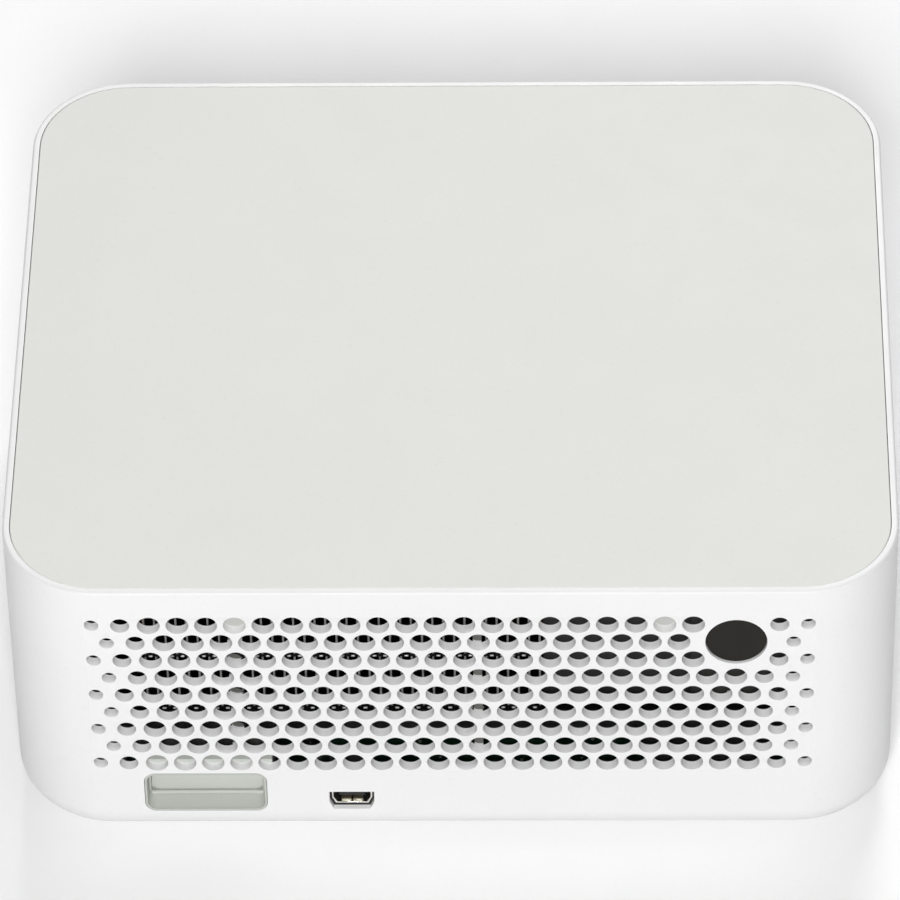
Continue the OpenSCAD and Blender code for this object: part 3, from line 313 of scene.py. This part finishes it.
def rolled_metal(name, colour, shade, rough, stretch=(1, 30, 30), grain=2.4 * MM, wear=0.5, stain=None):
    """Sheet, drawn or plated metal: long rolling marks, small scratches, bright edges."""
    f = Finish(name)
    rolling = f.cloud(grain, 4, f.mapped(stretch))
    patch = f.levels(f.cloud(12 * MM, 4, distortion=0.7), 0.35, 0.68)
    tone = f.mix(f.levels(rolling, 0.3, 0.7), colour, shade)
    tone = f.mix(f.sum(patch, 0.45, "MULTIPLY"), tone, stain or tuple(v * 0.86 for v in shade))
    edge = f.edges(0.2 * MM, wear)
    tone = f.mix(edge, tone, tuple(min(1, v * 1.15 + 0.03) for v in colour))
    f.put("Base Color", tone)
    f.put("Metallic", 1.0)
    rolled = f.levels(rolling, 0.3, 0.7, rough - 0.06, rough + 0.07)
    f.put("Roughness", f.sum(rolled, f.sum(patch, 0.06, "MULTIPLY")))
    f.relief(rolling, 0.0015 * MM)
    return f.material


def fins_with_painted_light(name, skin, shade, bare, rear, plates):
    """Fin sheet with painted shade, near-black faces, and a painted highlight along its rear edges, but for
    the plates across it.
    """
    f = Finish(name)
    rolling = f.cloud(1.2 * MM, 4, f.mapped((1, 1, 12)))
    # Painted shade: the skin colour makes the fin faces near-black.
    tone = f.mix(f.levels(rolling, 0.3, 0.7), skin, shade)
    across = f.nodes.new("ShaderNodeSeparateXYZ")
    f.link(f.place, across.inputs[0])
    # Painted highlight: the rear edges, where no plate covers them, take the light bare colour.
    cut = f.levels(across.outputs["Y"], rear - 0.15 * MM, rear - 0.05 * MM)
    painted_highlight_mask = f.sum(cut, f.levels(f.cloud(1.5 * MM, 3), 0.3, 0.55, 0.6, 1), "MULTIPLY")
    for plate in plates:
        covered = f.within((20 * MM, rear, plate * MM), (60 * MM, 1 * MM, 0.4 * MM))
        clear = f.sum(f.sum(covered, -1, "MULTIPLY"), 1)
        painted_highlight_mask = f.sum(painted_highlight_mask, clear, "MULTIPLY")
    f.put("Base Color", f.mix(painted_highlight_mask, tone, bare))
    f.put("Metallic", 0.85)
    f.put("Roughness", f.levels(rolling, 0.3, 0.7, 0.36, 0.52))
    f.relief(rolling, 0.002 * MM)
    return f.material


def turned_metal(name, colour, shade, rough, centre, pitch=0.12 * MM):
    """Metal from a lathe: fine rings about an upright axis."""
    f = Finish(name)
    here = f.mapped((1, 1, 1), centre)
    rings = f.rings(pitch, here, "Z", 0.6)
    patch = f.cloud(1.8 * MM, 3)
    f.put("Base Color", f.mix(f.levels(patch, 0.3, 0.7), colour, shade))
    f.put("Metallic", 1.0)
    f.put("Roughness", f.levels(f.sum(rings, patch), 0.3, 1.6, rough - 0.08, rough + 0.1))
    f.relief(rings, 0.004 * MM)
    return f.material


def circuit_board(name, resist, trace):
    """Solder resist over copper tracks, with tinned pads."""
    f = Finish(name)
    tracks = f.nodes.new("ShaderNodeTexBrick")
    f.link(f.place, tracks.inputs["Vector"])
    tracks.inputs["Scale"].default_value = 160
    tracks.inputs["Mortar Size"].default_value = 0.03
    tracks.inputs["Brick Width"].default_value = 1.3
    tracks.inputs["Row Height"].default_value = 0.21
    area = f.levels(f.cloud(9 * MM, 1), 0.47, 0.53)
    inked = f.sum(tracks.outputs["Fac"], area, "MULTIPLY")
    tone = f.mix(inked, resist, trace)
    pads = f.levels(f.cells(2.6 * MM), 0.16, 0.12)
    tone = f.mix(pads, tone, srgb(196, 196, 190))
    f.put("Base Color", tone)
    f.put("Roughness", f.levels(f.cloud(4 * MM, 3), 0.3, 0.7, 0.3, 0.42))
    f.put("Metallic", f.sum(pads, 0.8, "MULTIPLY"))
    f.relief(f.sum(inked, pads), 0.03 * MM)
    return f.material


def optical_glass(name, tint, sheen):
    """Clear lens glass with an anti-reflection coat and a little dust."""
    f = Finish(name)
    f.put("Base Color", f.mix(f.levels(f.cloud(5 * MM, 2), 0.3, 0.7), tint, sheen))
    f.put("Transmission Weight", 0.92)
    f.put("IOR", 1.52)
    f.put("Coat Weight", 0.7)
    f.put("Coat Tint", (0.55, 0.62, 1, 1))
    f.put("Coat IOR", 1.9)
    dust = f.levels(f.cloud(0.5 * MM, 4), 0.66, 0.8)
    wiped = f.levels(f.cloud(6 * MM, 2), 0.4, 0.7, 0, 0.03)
    f.put("Roughness", f.sum(f.levels(dust, 0, 1, 0.02, 0.16), wiped))
    return f.material


def paper(name, centre):
    """Pressed and coated paper cone with rings and fibres."""
    f = Finish(name)
    fibre = f.cloud(0.5 * MM, 5, distortion=1.5)
    f.put("Base Color", f.mix(f.levels(fibre, 0.3, 0.7), srgb(40, 40, 41), srgb(66, 65, 63)))
    f.put("Roughness", f.levels(fibre, 0.3, 0.7, 0.6, 0.85))
    f.relief(fibre, 0.05 * MM)
    f.relief(f.rings(1.1 * MM, f.mapped((0, 1, 1), centre), "X"), 0.09 * MM)
    return f.material


def casting(name, colour, shade, rough):
    """Black-coated die casting: orange-peel skin, rubbed edges showing metal."""
    f = Finish(name)
    skin = f.cloud(0.8 * MM, 3)
    tone = f.mix(f.levels(f.cloud(15 * MM, 3), 0.35, 0.65), colour, shade)
    edge = f.edges(0.35 * MM)
    bare = f.sum(edge, f.levels(f.cloud(3 * MM, 3), 0.45, 0.6), "MULTIPLY")
    f.put("Base Color", f.mix(bare, tone, srgb(140, 142, 145)))
    f.put("Metallic", f.sum(bare, 0.9, "MULTIPLY"))
    f.put("Roughness", f.levels(skin, 0.3, 0.7, rough - 0.06, rough + 0.1))
    f.relief(skin, 0.02 * MM)
    return f.material


# Places in the frame, in millimetres
REAR_Y = 71.0
BAY_X = 46.3
PORT_X, PORT_FOOT_Z = 19.0, 9.1
LENS_X, LENS_Z = -36.0, 47.4
BUTTON_Y, BUTTON_Z = -43.0, 47.4
BUTTON_FACE_X = 82.48
SPEAKER_X, SPEAKER_Y, SPEAKER_Z = 80.2, -13.0, 46.9
TRIPOD_Y = 12.0
USB_Y, HDMI_Y = 0.0, 19.0
SPINDLE_Y = -4.6
LAMP_X, LAMP_Z = 50.0, 21.5
FIN_REAR_Y = 66.0
FIN_PLATE_HEIGHTS = (31.05, 44.85)

WHITE, WHITE_SHADE = srgb(228, 228, 228), srgb(226, 226, 226)
# Painted shade: dark grey tint, with centre and reach in millimetres, for the housing's inner faces behind
# the grille.
SHADE_PAINTED_BEHIND_GRILLE = (srgb(118, 118, 115), (0, 67.15, 35), (44, 1.3, 29))
# Painted shade: darker tint, with centre and reach in millimetres, for the rear-facing lip of the bay's
# sleeve.
BAY_LIP_PAINTED_SHADE = (srgb(180, 183, 176), (BAY_X, REAR_Y, 13), (14, 0.35, 8))

FINISHES = {
    "satin_white": moulding("satin_white", WHITE, WHITE_SHADE, 0.46, rub=srgb(232, 232, 232)),
    # The housing's white, with painted shade on its inner faces behind the grille.
    "shell_white_painted_shade": moulding(
        "shell_white_painted_shade", WHITE, WHITE_SHADE, 0.46,
        rub=srgb(232, 232, 232), inside=SHADE_PAINTED_BEHIND_GRILLE, smear=0.03,
    ),
    # Painted shade: a darker copy of the white plastic, for the screw-boss caps seen in the grille holes.
    "white_painted_shade": moulding("white_painted_shade", srgb(180, 180, 177), srgb(174, 174, 171), 0.5, wear=0.0),
    "panel_white": moulding(
        "panel_white", srgb(217, 218, 213), srgb(216, 217, 212), 0.55, 0.16 * MM, 0.003 * MM,
        wave=0.001 * MM, smear=0.012,
    ),
    # The bay's grey, with painted shade on the lip of its sleeve.
    "bay_grey": moulding(
        "bay_grey", srgb(195, 198, 192), srgb(191, 194, 188), 0.42, 0.3 * MM, 0.002 * MM,
        wear=0.0, inside=BAY_LIP_PAINTED_SHADE,
    ),
    "black_moulding": moulding(
        "black_moulding", srgb(31, 31, 32), srgb(40, 40, 41), 0.48, wear=0.5, rub=srgb(70, 70, 70)
    ),
    "grey_moulding": moulding(
        "grey_moulding", srgb(74, 76, 78), srgb(66, 68, 70), 0.45, wear=0.5, rub=srgb(110, 112, 112)
    ),
    "stand_grey": moulding("stand_grey", srgb(150, 153, 151), srgb(140, 143, 141), 0.48, wear=0.4),
    "natural_nylon": moulding("natural_nylon", srgb(214, 210, 196), srgb(202, 198, 184), 0.38, wear=0.2),
    "chip_epoxy": moulding(
        "chip_epoxy", srgb(36, 37, 39), srgb(46, 47, 49), 0.55, 0.12 * MM, 0.006 * MM, rub=srgb(86, 86, 88)
    ),
    "dark_window": gloss_window("dark_window", srgb(27, 25, 21), srgb(31, 29, 25), 0.3, 0.0, 0.18),
    "front_gloss": gloss_window("front_gloss", srgb(14, 14, 16), srgb(22, 22, 25)),
    "foot_rubber": rubber("foot_rubber"),
    "plated_sheet": rolled_metal("plated_sheet", srgb(205, 207, 208), srgb(186, 189, 191), 0.34),
    "bright_nickel": rolled_metal(
        "bright_nickel", srgb(232, 231, 227), srgb(218, 217, 212), 0.2, (8, 8, 1), 0.9 * MM
    ),
    "drawn_steel": rolled_metal(
        "drawn_steel", srgb(214, 216, 218), srgb(196, 198, 201), 0.22, (14, 14, 14), 0.8 * MM
    ),
    "coated_sheet": rolled_metal(
        "coated_sheet", srgb(44, 45, 47), srgb(36, 37, 39), 0.5, wear=0.3, stain=srgb(30, 30, 31)
    ),
    # Fins with painted shade on their faces and a painted highlight on their rear edges.
    "fin_sheet_painted_light": fins_with_painted_light(
        "fin_sheet_painted_light", srgb(34, 34, 35), srgb(26, 26, 27), srgb(176, 177, 174),
        FIN_REAR_Y * MM, FIN_PLATE_HEIGHTS,
    ),
    "port_black": moulding("port_black", srgb(20, 20, 20), srgb(26, 26, 26), 0.5, wear=0.1),
    "fin_tab": rolled_metal(
        "fin_tab", srgb(208, 208, 205), srgb(192, 192, 188), 0.45, (1, 1, 12), 1.2 * MM, wear=0.4
    ),
    "lamp_metal": rolled_metal(
        "lamp_metal", srgb(222, 218, 200), srgb(206, 202, 184), 0.4, (6, 6, 6), 1 * MM
    ),
    "dull_copper": rolled_metal(
        "dull_copper", srgb(104, 72, 56), srgb(82, 58, 46), 0.42, (1, 12, 12), 1.6 * MM, 0.3, srgb(58, 44, 38)
    ),
    "gold_contact": rolled_metal(
        "gold_contact", srgb(240, 206, 128), srgb(226, 186, 104), 0.22, (1, 20, 1), 0.4 * MM
    ),
    "turned_brass": turned_metal(
        "turned_brass", srgb(214, 180, 110), srgb(190, 154, 88), 0.3, (0, TRIPOD_Y * MM, 0)
    ),
    "green_board": circuit_board("green_board", srgb(11, 34, 23), srgb(24, 58, 38)),
    "black_board": circuit_board("black_board", srgb(19, 20, 17), srgb(33, 34, 28)),
    # Painted shade: black foam for the pieces that stand in for shade at the service port and the sleeve.
    "black_foam_for_shade": rubber("black_foam_for_shade"),
    "lens_glass": optical_glass("lens_glass", (0.93, 0.97, 0.98), (0.86, 0.93, 0.98)),
    "speaker_paper": paper("speaker_paper", (0, SPEAKER_Y * MM, SPEAKER_Z * MM)),
    "black_casting": casting("black_casting", srgb(34, 35, 37), srgb(44, 45, 47), 0.5),
    "chip_ceramic": moulding("chip_ceramic", srgb(126, 122, 92), srgb(112, 108, 84), 0.4, wear=0.4),
    "floor_white": moulding(
        "floor_white", srgb(250, 250, 250), srgb(249, 249, 249), 0.75, 1.5 * MM, 0.01 * MM, wear=0.0
    ),
}

# Finish and record slot of each node
NODE_FINISH = {
    "shell_white_painted_shade": ("housing_white", "housing_shell"),
    "satin_white": ("housing_white", "base_cover power_button tray_bezel"),
    "panel_white": ("panel_white", "top_cover eject_button"),
    "bay_grey": ("bay_grey", "dongle_sleeve dongle_door"),
    # The air baffle's black plastic is partly a real baffle and partly a dark sheet that stands in for the
    # shade behind the grille.
    "black_moulding": (
        "black_plastic",
        "air_baffle audio_jack dc_inlet speaker_boxes blower_case blower_lid impeller lens_barrel"
        " focus_ring lens_cell drive_connector turntable",
    ),
    "chip_epoxy": ("black_plastic", "main_chips"),
    "dark_window": ("dark_gloss", "ir_window"),
    "front_gloss": ("dark_gloss", "front_window"),
    "foot_rubber": ("rubber", "rubber_feet"),
    "coated_sheet": ("steel_sheet", "mid_frame"),
    "plated_sheet": (
        "steel_sheet",
        "focus_motor drive_lower_case drive_upper_case traverse_plate spindle_motor sled_motor",
    ),
    "bright_nickel": (
        "steel_bright",
        "base_screws inner_screws service_port dongle_socket hdmi_socket usb_socket",
    ),
    "drawn_steel": ("steel_bright", "slide_rails guide_rods lead_screw"),
    "turned_brass": ("brass", "tripod_insert"),
    "dull_copper": ("copper", "copper_blocks heat_pipes"),
    "fin_sheet_painted_light": ("aluminium", "fin_stack"),
    "lamp_metal": ("aluminium", "led_modules"),
    "black_board": ("board_green", "ir_receiver"),
    "green_board": ("board_green", "main_board power_board switch_board"),
    "grey_moulding": ("grey_plastic", "tray pickup_sled"),
    "stand_grey": ("grey_plastic", "kickstand"),
    "natural_nylon": ("grey_plastic", "focus_pinion"),
    "chip_ceramic": ("grey_plastic", "imaging_chip"),
    "lens_glass": ("glass", "prism rear_lens front_lens"),
    "speaker_paper": ("paper_cone", "speaker_cones"),
    "black_casting": ("cast_black", "engine_case engine_lid"),
}
FINISH_OF = {
    node: (finish, slot) for finish, (slot, nodes) in NODE_FINISH.items() for node in nodes.split()
}

# ---------- making pieces ----------

SMOOTH_DEGREES = 50
SHARP_DEGREES = 35
FLAT_DEGREES = 0.4


def finished(name, bm, body, finish, weighted=True):
    """Turns a bmesh into a piece of the object that rides on a body."""
    bmesh.ops.triangulate(bm, faces=[f for f in bm.faces if len(f.verts) > 4])
    mesh = bpy.data.meshes.new(name)
    bm.to_mesh(mesh)
    bm.free()
    mesh.polygons.foreach_set("use_smooth", [True] * len(mesh.polygons))
    mesh.set_sharp_from_angle(angle=math.radians(SMOOTH_DEGREES))
    mesh.materials.append(FINISHES[finish])
    made = bpy.data.objects.new(name, mesh)
    bpy.context.scene.collection.objects.link(made)
    if weighted:
        normals = made.modifiers.new("flat_faces_stay_flat", "WEIGHTED_NORMAL")
        normals.keep_sharp = True
    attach(made, body)
    return made


def softened(node, width):
    """The node's shape with its sharp edges broken by a small radius; it stands for the node."""
    source = frame["nodes"][node]
    bm = bmesh.new()
    bm.from_mesh(source.data)
    bmesh.ops.remove_doubles(bm, verts=bm.verts, dist=0.001 * MM)
    bmesh.ops.dissolve_limit(
        bm, angle_limit=math.radians(FLAT_DEGREES), use_dissolve_boundaries=False,
        verts=bm.verts, edges=bm.edges, delimit={"NORMAL"},
    )
    limit = math.radians(SHARP_DEGREES)
    sharp = [e for e in bm.edges if e.is_manifold and e.calc_face_angle() > limit]
    bmesh.ops.bevel(
        bm, geom=sharp, offset=width * MM, offset_type="OFFSET", profile_type="SUPERELLIPSE", segments=2,
        profile=0.5, affect="EDGES", clamp_overlap=True, material=-1, loop_slide=True,
    )
    finish, slot = FINISH_OF[node]
    made = finished("soft_" + node, bm, body_of(source)[0], finish)
    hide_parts(node)
    return made


def turned(profile, steps=40, angle=2 * math.pi, rise=0.0):
    """A bmesh turned about Z from a closed profile of (radius, height) in millimetres."""
    bm = bmesh.new()
    ring = [bm.verts.new((r * MM, 0, h * MM)) for r, h in profile]
    rim = [bm.edges.new(pair) for pair in zip(ring, ring[1:] + ring[:1])]
    whole = abs(angle - 2 * math.pi) < 1e-6 and rise == 0
    if not whole:
        rim.append(bm.faces.new(ring))
    bmesh.ops.spin(
        bm, geom=ring + rim, cent=(0, 0, 0), axis=(0, 0, 1), dvec=(0, 0, rise * MM / steps),
        angle=angle, steps=steps, use_merge=whole,
    )
    bmesh.ops.remove_doubles(bm, verts=bm.verts, dist=0.0005 * MM)
    bmesh.ops.recalc_face_normals(bm, faces=bm.faces)
    return bm


def bar(size, centre, round_by=0.0, segments=2):
    """A bmesh bar with rounded edges, in millimetres."""
    bm = bmesh.new()
    bmesh.ops.create_cube(bm, size=1)
    bmesh.ops.scale(bm, vec=[v * MM for v in size], verts=bm.verts)
    if round_by:
        bmesh.ops.bevel(
            bm, geom=list(bm.edges), offset=round_by * MM, offset_type="OFFSET", segments=segments,
            profile=0.5, affect="EDGES", clamp_overlap=True, material=-1,
        )
    bmesh.ops.translate(bm, vec=[v * MM for v in centre], verts=bm.verts)
    return bm


def joined(parts):
    """Several bmeshes as one."""
    whole = bmesh.new()
    for part in parts:
        mesh = bpy.data.meshes.new("part")
        part.to_mesh(mesh)
        part.free()
        whole.from_mesh(mesh)
        bpy.data.meshes.remove(mesh)
    return whole


def stood(bm, direction, place):
    """Turns a bmesh so that its +Z points along direction, with its origin at place in millimetres."""
    turn = Vector((0, 0, 1)).rotation_difference(Vector(direction)).to_matrix()
    bmesh.ops.rotate(bm, cent=(0, 0, 0), matrix=turn, verts=bm.verts)
    bmesh.ops.translate(bm, vec=[v * MM for v in place], verts=bm.verts)
    return bm


# ---------- carried-over nodes ----------


# Width in millimetres of the soft edge of each node that is seen
SOFT_EDGES = {
    "housing_shell": 0.2,
    "top_cover": 0.22,
    "base_cover": 0.2,
    "dongle_sleeve": 0.08,
    "dongle_door": 0.14,
    "service_port": 0.09,
    "tray_bezel": 0.25,
    "eject_button": 0.25,
    "power_button": 0.35,
    "front_window": 0.25,
    "ir_window": 0.15,
    "rubber_feet": 0.35,
    "kickstand": 0.3,
    "tray": 0.25,
    "slide_rails": 0.15,
    "turntable": 0.12,
    "pickup_sled": 0.15,
    "lens_barrel": 0.2,
    "focus_ring": 0.1,
    "lens_cell": 0.25,
    "hdmi_socket": 0.12,
    "usb_socket": 0.12,
    "dongle_socket": 0.12,
    "audio_jack": 0.2,
    "dc_inlet": 0.2,
    "tripod_insert": 0.15,
    "base_screws": 0.12,
    "speaker_boxes": 0.4,
    "drive_upper_case": 0.25,
    "drive_lower_case": 0.25,
}


def dress_nodes():
    """Gives every node its finish, and softens the edges of those that are seen."""
    for name, node in frame["nodes"].items():
        finish = FINISHES[FINISH_OF[name][0]]
        for place in node.material_slots:
            place.material = finish
    for name, width in SOFT_EDGES.items():
        softened(name, width)


# ---------- fittings ----------

FIN_FIRST_X = -16.6
FIN_PITCH = 1.97
FIN_COUNT = 38
FIN_THICK = 0.35
TAB_SIZE = (0.8, 0.4, 0.4)
TAB_STAND_OUT = 0.15


def fin_tabs():
    """Folded tabs that space the fins, in two rows at the rear edges of their plates."""
    tabs = []
    for z in reversed(FIN_PLATE_HEIGHTS):
        for i in range(FIN_COUNT - 1):
            x = FIN_FIRST_X + (i + 0.5) * FIN_PITCH + FIN_THICK / 2
            tabs.append(bar(TAB_SIZE, (x, FIN_REAR_Y + TAB_STAND_OUT, z), 0.1, 1))
    finished("fin_tabs", joined(tabs), CHASSIS, "fin_tab", weighted=False)


# Rear grille: rows down from the top one, columns counted in half pitches from the middle
ROWS = 9
LAST_COLUMN = 25
HALF_PITCH = 2.625
ROW_PITCH = 4.5466
TOP_ROW_Z = 57.7
WINDOW_COLUMN = -20
INNER_FACE_Y = 69.0
COLLAR_DEEP = 0.06
COLLAR_IN_WALL = 0.22
COLLAR_WIDE = 0.26
COLLAR_SHOWS = 0.015
BOSS_COLUMN = 15
HOLE_RADIUS, LAST_BUT_ONE_RADIUS, LAST_RADIUS = 2.1, 1.75, 1.35


def hole_radius(column):
    """The end holes of a row are smaller."""
    if abs(column) > LAST_COLUMN - 2:
        return LAST_RADIUS
    return LAST_BUT_ONE_RADIUS if abs(column) > LAST_COLUMN - 4 else HOLE_RADIUS


def beside_window(row, column):
    """True where the round window takes the place of holes."""
    across = (column - WINDOW_COLUMN) / 2
    return math.hypot(across, (row - 1) * math.sin(math.radians(60))) <= 1.4


def at_hole(bm, row, column, y):
    """Stands a bmesh made about Z along Y, in line with one hole."""
    return stood(bm, (0, 1, 0), (column * HALF_PITCH, y, TOP_ROW_Z - row * ROW_PITCH))


def grille_collars():
    """The short collar round the inner end of every rear hole, and the caps of the two screw bosses, in white
    darkened as painted shade.
    """
    collars = []
    for row in range(ROWS):
        for column in range(-LAST_COLUMN, LAST_COLUMN + 1):
            if (row + column) % 2 == 0 or beside_window(row, column):
                continue
            inner = hole_radius(column) - COLLAR_SHOWS
            outer = inner + COLLAR_WIDE
            deep = COLLAR_DEEP + COLLAR_IN_WALL
            collar = turned([(inner, 0), (outer, 0), (outer, deep), (inner, deep)], 28)
            collars.append(at_hole(collar, row, column, INNER_FACE_Y - COLLAR_DEEP))
    finished("grille_collars", joined(collars), CHASSIS, "satin_white", weighted=False)
    caps = []
    for column in (-BOSS_COLUMN, BOSS_COLUMN):
        cap = turned([(0, 0), (2.06, 0), (2.06, 1.05), (0, 0.85)], 32)
        caps.append(at_hole(cap, 0, column, INNER_FACE_Y - 1.0))
    finished("boss_caps", joined(caps), CHASSIS, "white_painted_shade", weighted=False)


def flat_ring(outer, inner, thick):
    """A bmesh frame between two outlines of (x, z) in millimetres, facing along Y."""
    bm = bmesh.new()
    edges = []
    for outline in (outer, inner):
        corners = [bm.verts.new((x * MM, z * MM, 0)) for x, z in outline]
        edges += [bm.edges.new(pair) for pair in zip(corners, corners[1:] + corners[:1])]
    bmesh.ops.bridge_loops(bm, edges=edges)
    bmesh.ops.recalc_face_normals(bm, faces=bm.faces)
    bmesh.ops.solidify(bm, geom=list(bm.faces), thickness=thick * MM)
    bmesh.ops.rotate(bm, cent=(0, 0, 0), matrix=Matrix.Rotation(math.pi / 2, 3, "X"), verts=bm.verts)
    bmesh.ops.recalc_face_normals(bm, faces=bm.faces)
    return bm


def port_outline(grow):
    """The service port's outline, larger by grow, about the foot of its shell."""
    half_wide, foot_half, tall, shoulder = 3.85 + grow, 3.08 + grow, 3.9 + grow, 1.638
    right = [(foot_half, -grow), (half_wide, shoulder), (half_wide, tall)]
    left = [(-x, z) for x, z in reversed(right)]
    return [left[-1], *right, *left[:-1]]


def port_dressing():
    """Black gasket round the service port and foam over its shell, dark pieces that stand in for shade; black
    tongue and its spring contacts.
    """
    # Painted shade: the black gasket darkens the gap round the port's shell.
    gasket = flat_ring(port_outline(0.32), port_outline(0.02), 0.6)
    bmesh.ops.translate(gasket, vec=(PORT_X * MM, 69.4 * MM, PORT_FOOT_Z * MM), verts=gasket.verts)
    finished("port_shade_gasket", gasket, CHASSIS, "black_foam_for_shade", weighted=False)
    # Painted shade: the black foam hides the shell's top from the rear holes, so they show only black.
    foam = bar((8.8, 6.4, 0.5), (PORT_X, 64.3, 13.25), 0.12, 2)
    finished("port_shade_foam", foam, CHASSIS, "black_foam_for_shade", weighted=False)
    tongue = bar((5.0, 7.4, 1.1), (PORT_X, 65.68, 11.25), 0.12, 2)
    finished("port_tongue", tongue, CHASSIS, "port_black", weighted=False)
    springs = [bar((1.85, 1.1, 0.16), (PORT_X + side * 1.1, 68.9, 9.64), 0.05, 2) for side in (-1, 1)]
    finished("port_springs", joined(springs), CHASSIS, "lamp_metal", weighted=False)


TRIM_Y = 66.78


def bay_trim():
    """Sill in front of the bay's door and the strips that cover the gaps beside it."""
    sill = bar((21.9, 0.75, 0.55), (BAY_X, TRIM_Y, 9.02), 0.16, 3)
    strips = [bar((0.5, 0.7, 9.0), (BAY_X + side * 10.75, TRIM_Y, 13.4), 0.1, 2) for side in (-1, 1)]
    finished("bay_trim", joined([sill, *strips]), CHASSIS, "bay_grey", weighted=False)


def sleeve_shade_foam():
    """Black foam strips over the inner part of the dongle sleeve, dark pieces that stand in for the shade
    seen through the rear holes.
    """
    middle_y, half_apart = 63.0, 12.72
    strips = [bar((25.7, 8.2, 0.4), (BAY_X, middle_y, 20.38), 0.12, 2)]
    strips += [bar((0.4, 8.2, 8.2), (BAY_X + side * half_apart, middle_y, 16.3), 0.12, 2) for side in (-1, 1)]
    finished("sleeve_shade_foam", joined(strips), CHASSIS, "black_foam_for_shade", weighted=False)


def port_contacts():
    """Contact strips under the tongue of the service port and in the side sockets."""
    strips = [bar((0.3, 6.6, 0.1), (PORT_X + (i - 2) * 0.8, 65.2, 10.66), 0.03, 1) for i in range(5)]
    finished("service_contacts", joined(strips), CHASSIS, "gold_contact", weighted=False)
    strips = [bar((8, 0.9, 0.12), (-74.6, USB_Y + (i - 1.5) * 2.3, 12.66), 0.03, 1) for i in range(4)]
    finished("usb_contacts", joined(strips), CHASSIS, "gold_contact", weighted=False)
    strips = [bar((7, 0.4, 0.12), (-75.2, HDMI_Y + (i - 4.5) * 1.05, 11.36), 0.03, 1) for i in range(10)]
    finished("hdmi_contacts", joined(strips), CHASSIS, "gold_contact", weighted=False)


def tripod_thread():
    """The camera-screw thread inside the insert."""
    turns, pitch, foot_z = 4, 1.12, 2.1
    profile = [(2.66, -0.45), (2.3, -0.08), (2.3, 0.08), (2.66, 0.45)]
    bm = turned(profile, steps=turns * 28, angle=turns * 2 * math.pi, rise=turns * pitch)
    finished("tripod_thread", stood(bm, (0, 0, 1), (0, TRIPOD_Y, foot_z)), CHASSIS, "turned_brass")


def speaker_trim():
    """Rubber surrounds and dust caps on both cones."""
    roll_profile = [
        (9.9, -1.4), (10.3, -0.7), (10.9, -0.35), (11.5, -0.3), (12.1, -0.6), (12.4, -1.3), (11.2, -1.5)
    ]
    cap_profile = [(0, -2.0), (1.6, -2.15), (3.0, -2.6), (4.1, -3.2), (4.1, -3.5), (0, -3.3)]
    for side, word in ((1, "left"), (-1, "right")):
        place = (side * SPEAKER_X, SPEAKER_Y, SPEAKER_Z)
        roll = stood(turned(roll_profile), (side, 0, 0), place)
        finished("surround_" + word, roll, CHASSIS, "foot_rubber")
        cap = stood(turned(cap_profile, 28), (side, 0, 0), place)
        finished("dust_cap_" + word, cap, CHASSIS, "black_moulding")


def power_mark():
    """A ring with a bar, the plain sign for power, just proud of the button."""
    arc = turned([(1.45, 0), (1.75, 0), (1.75, 0.06), (1.45, 0.06)], 30, math.radians(290))
    bmesh.ops.rotate(arc, cent=(0, 0, 0), matrix=Matrix.Rotation(math.radians(125), 3, "Z"), verts=arc.verts)
    stroke = bar((0.3, 1.5, 0.06), (0, 1.2, 0.03), 0.02, 1)
    bm = joined([arc, stroke])
    facing = Matrix(((0, 0, 1), (1, 0, 0), (0, 1, 0)))
    bmesh.ops.transform(bm, matrix=facing.to_4x4(), verts=bm.verts)
    bmesh.ops.translate(bm, vec=(BUTTON_FACE_X * MM, BUTTON_Y * MM, BUTTON_Z * MM), verts=bm.verts)
    finished("power_mark", bm, "power_button", "grey_moulding", weighted=False)


def disc_hub():
    """The three balls in the hub that clamp a disc."""
    balls = []
    count, ball_radius, circle_radius, height = 3, 0.9, 6.45, 26.9
    for i in range(count):
        bm = bmesh.new()
        bmesh.ops.create_uvsphere(bm, u_segments=16, v_segments=10, radius=ball_radius * MM)
        turn = math.radians(360 / count * i + 30)
        x = circle_radius * math.cos(turn)
        y = SPINDLE_Y + circle_radius * math.sin(turn)
        bmesh.ops.translate(bm, vec=(x * MM, y * MM, height * MM), verts=bm.verts)
        balls.append(bm)
    finished("hub_balls", joined(balls), "turntable", "drawn_steel", weighted=False)


def optics():
    """The ring that retains the front lens."""
    ring = turned([(8.9, 0), (9.9, 0), (9.9, 1.3), (9.6, 1.55), (9.15, 1.55), (8.9, 1.2)], 64)
    ring = stood(ring, (0, -1, 0), (LENS_X, -64.55, LENS_Z))
    finished("retaining_ring", ring, "lens_cell", "black_moulding")


def tray_lamp():
    """Clear rod in the bezel's lamp hole."""
    rod = turned([(0, 1.1), (0.4, 1.05), (0.68, 0.85), (0.72, 0), (0, 0)], 20)
    rod = stood(rod, (0, -1, 0), (LAMP_X, -69.85, LAMP_Z))
    finished("tray_lamp", rod, "tray", "lens_glass")


def floor():
    """A wide pale floor under the feet."""
    bm = bmesh.new()
    bmesh.ops.create_grid(bm, x_segments=8, y_segments=8, size=4)
    mesh = bpy.data.meshes.new("floor")
    bm.to_mesh(mesh)
    bm.free()
    mesh.materials.append(FINISHES["floor_white"])
    made = bpy.data.objects.new("floor", mesh)
    bpy.context.scene.collection.objects.link(made)


camera()
studio()
floor()
dress_nodes()
fin_tabs()
grille_collars()
sleeve_shade_foam()
port_contacts()
port_dressing()
bay_trim()
tripod_thread()
speaker_trim()
power_mark()
disc_hub()
optics()
tray_lamp()
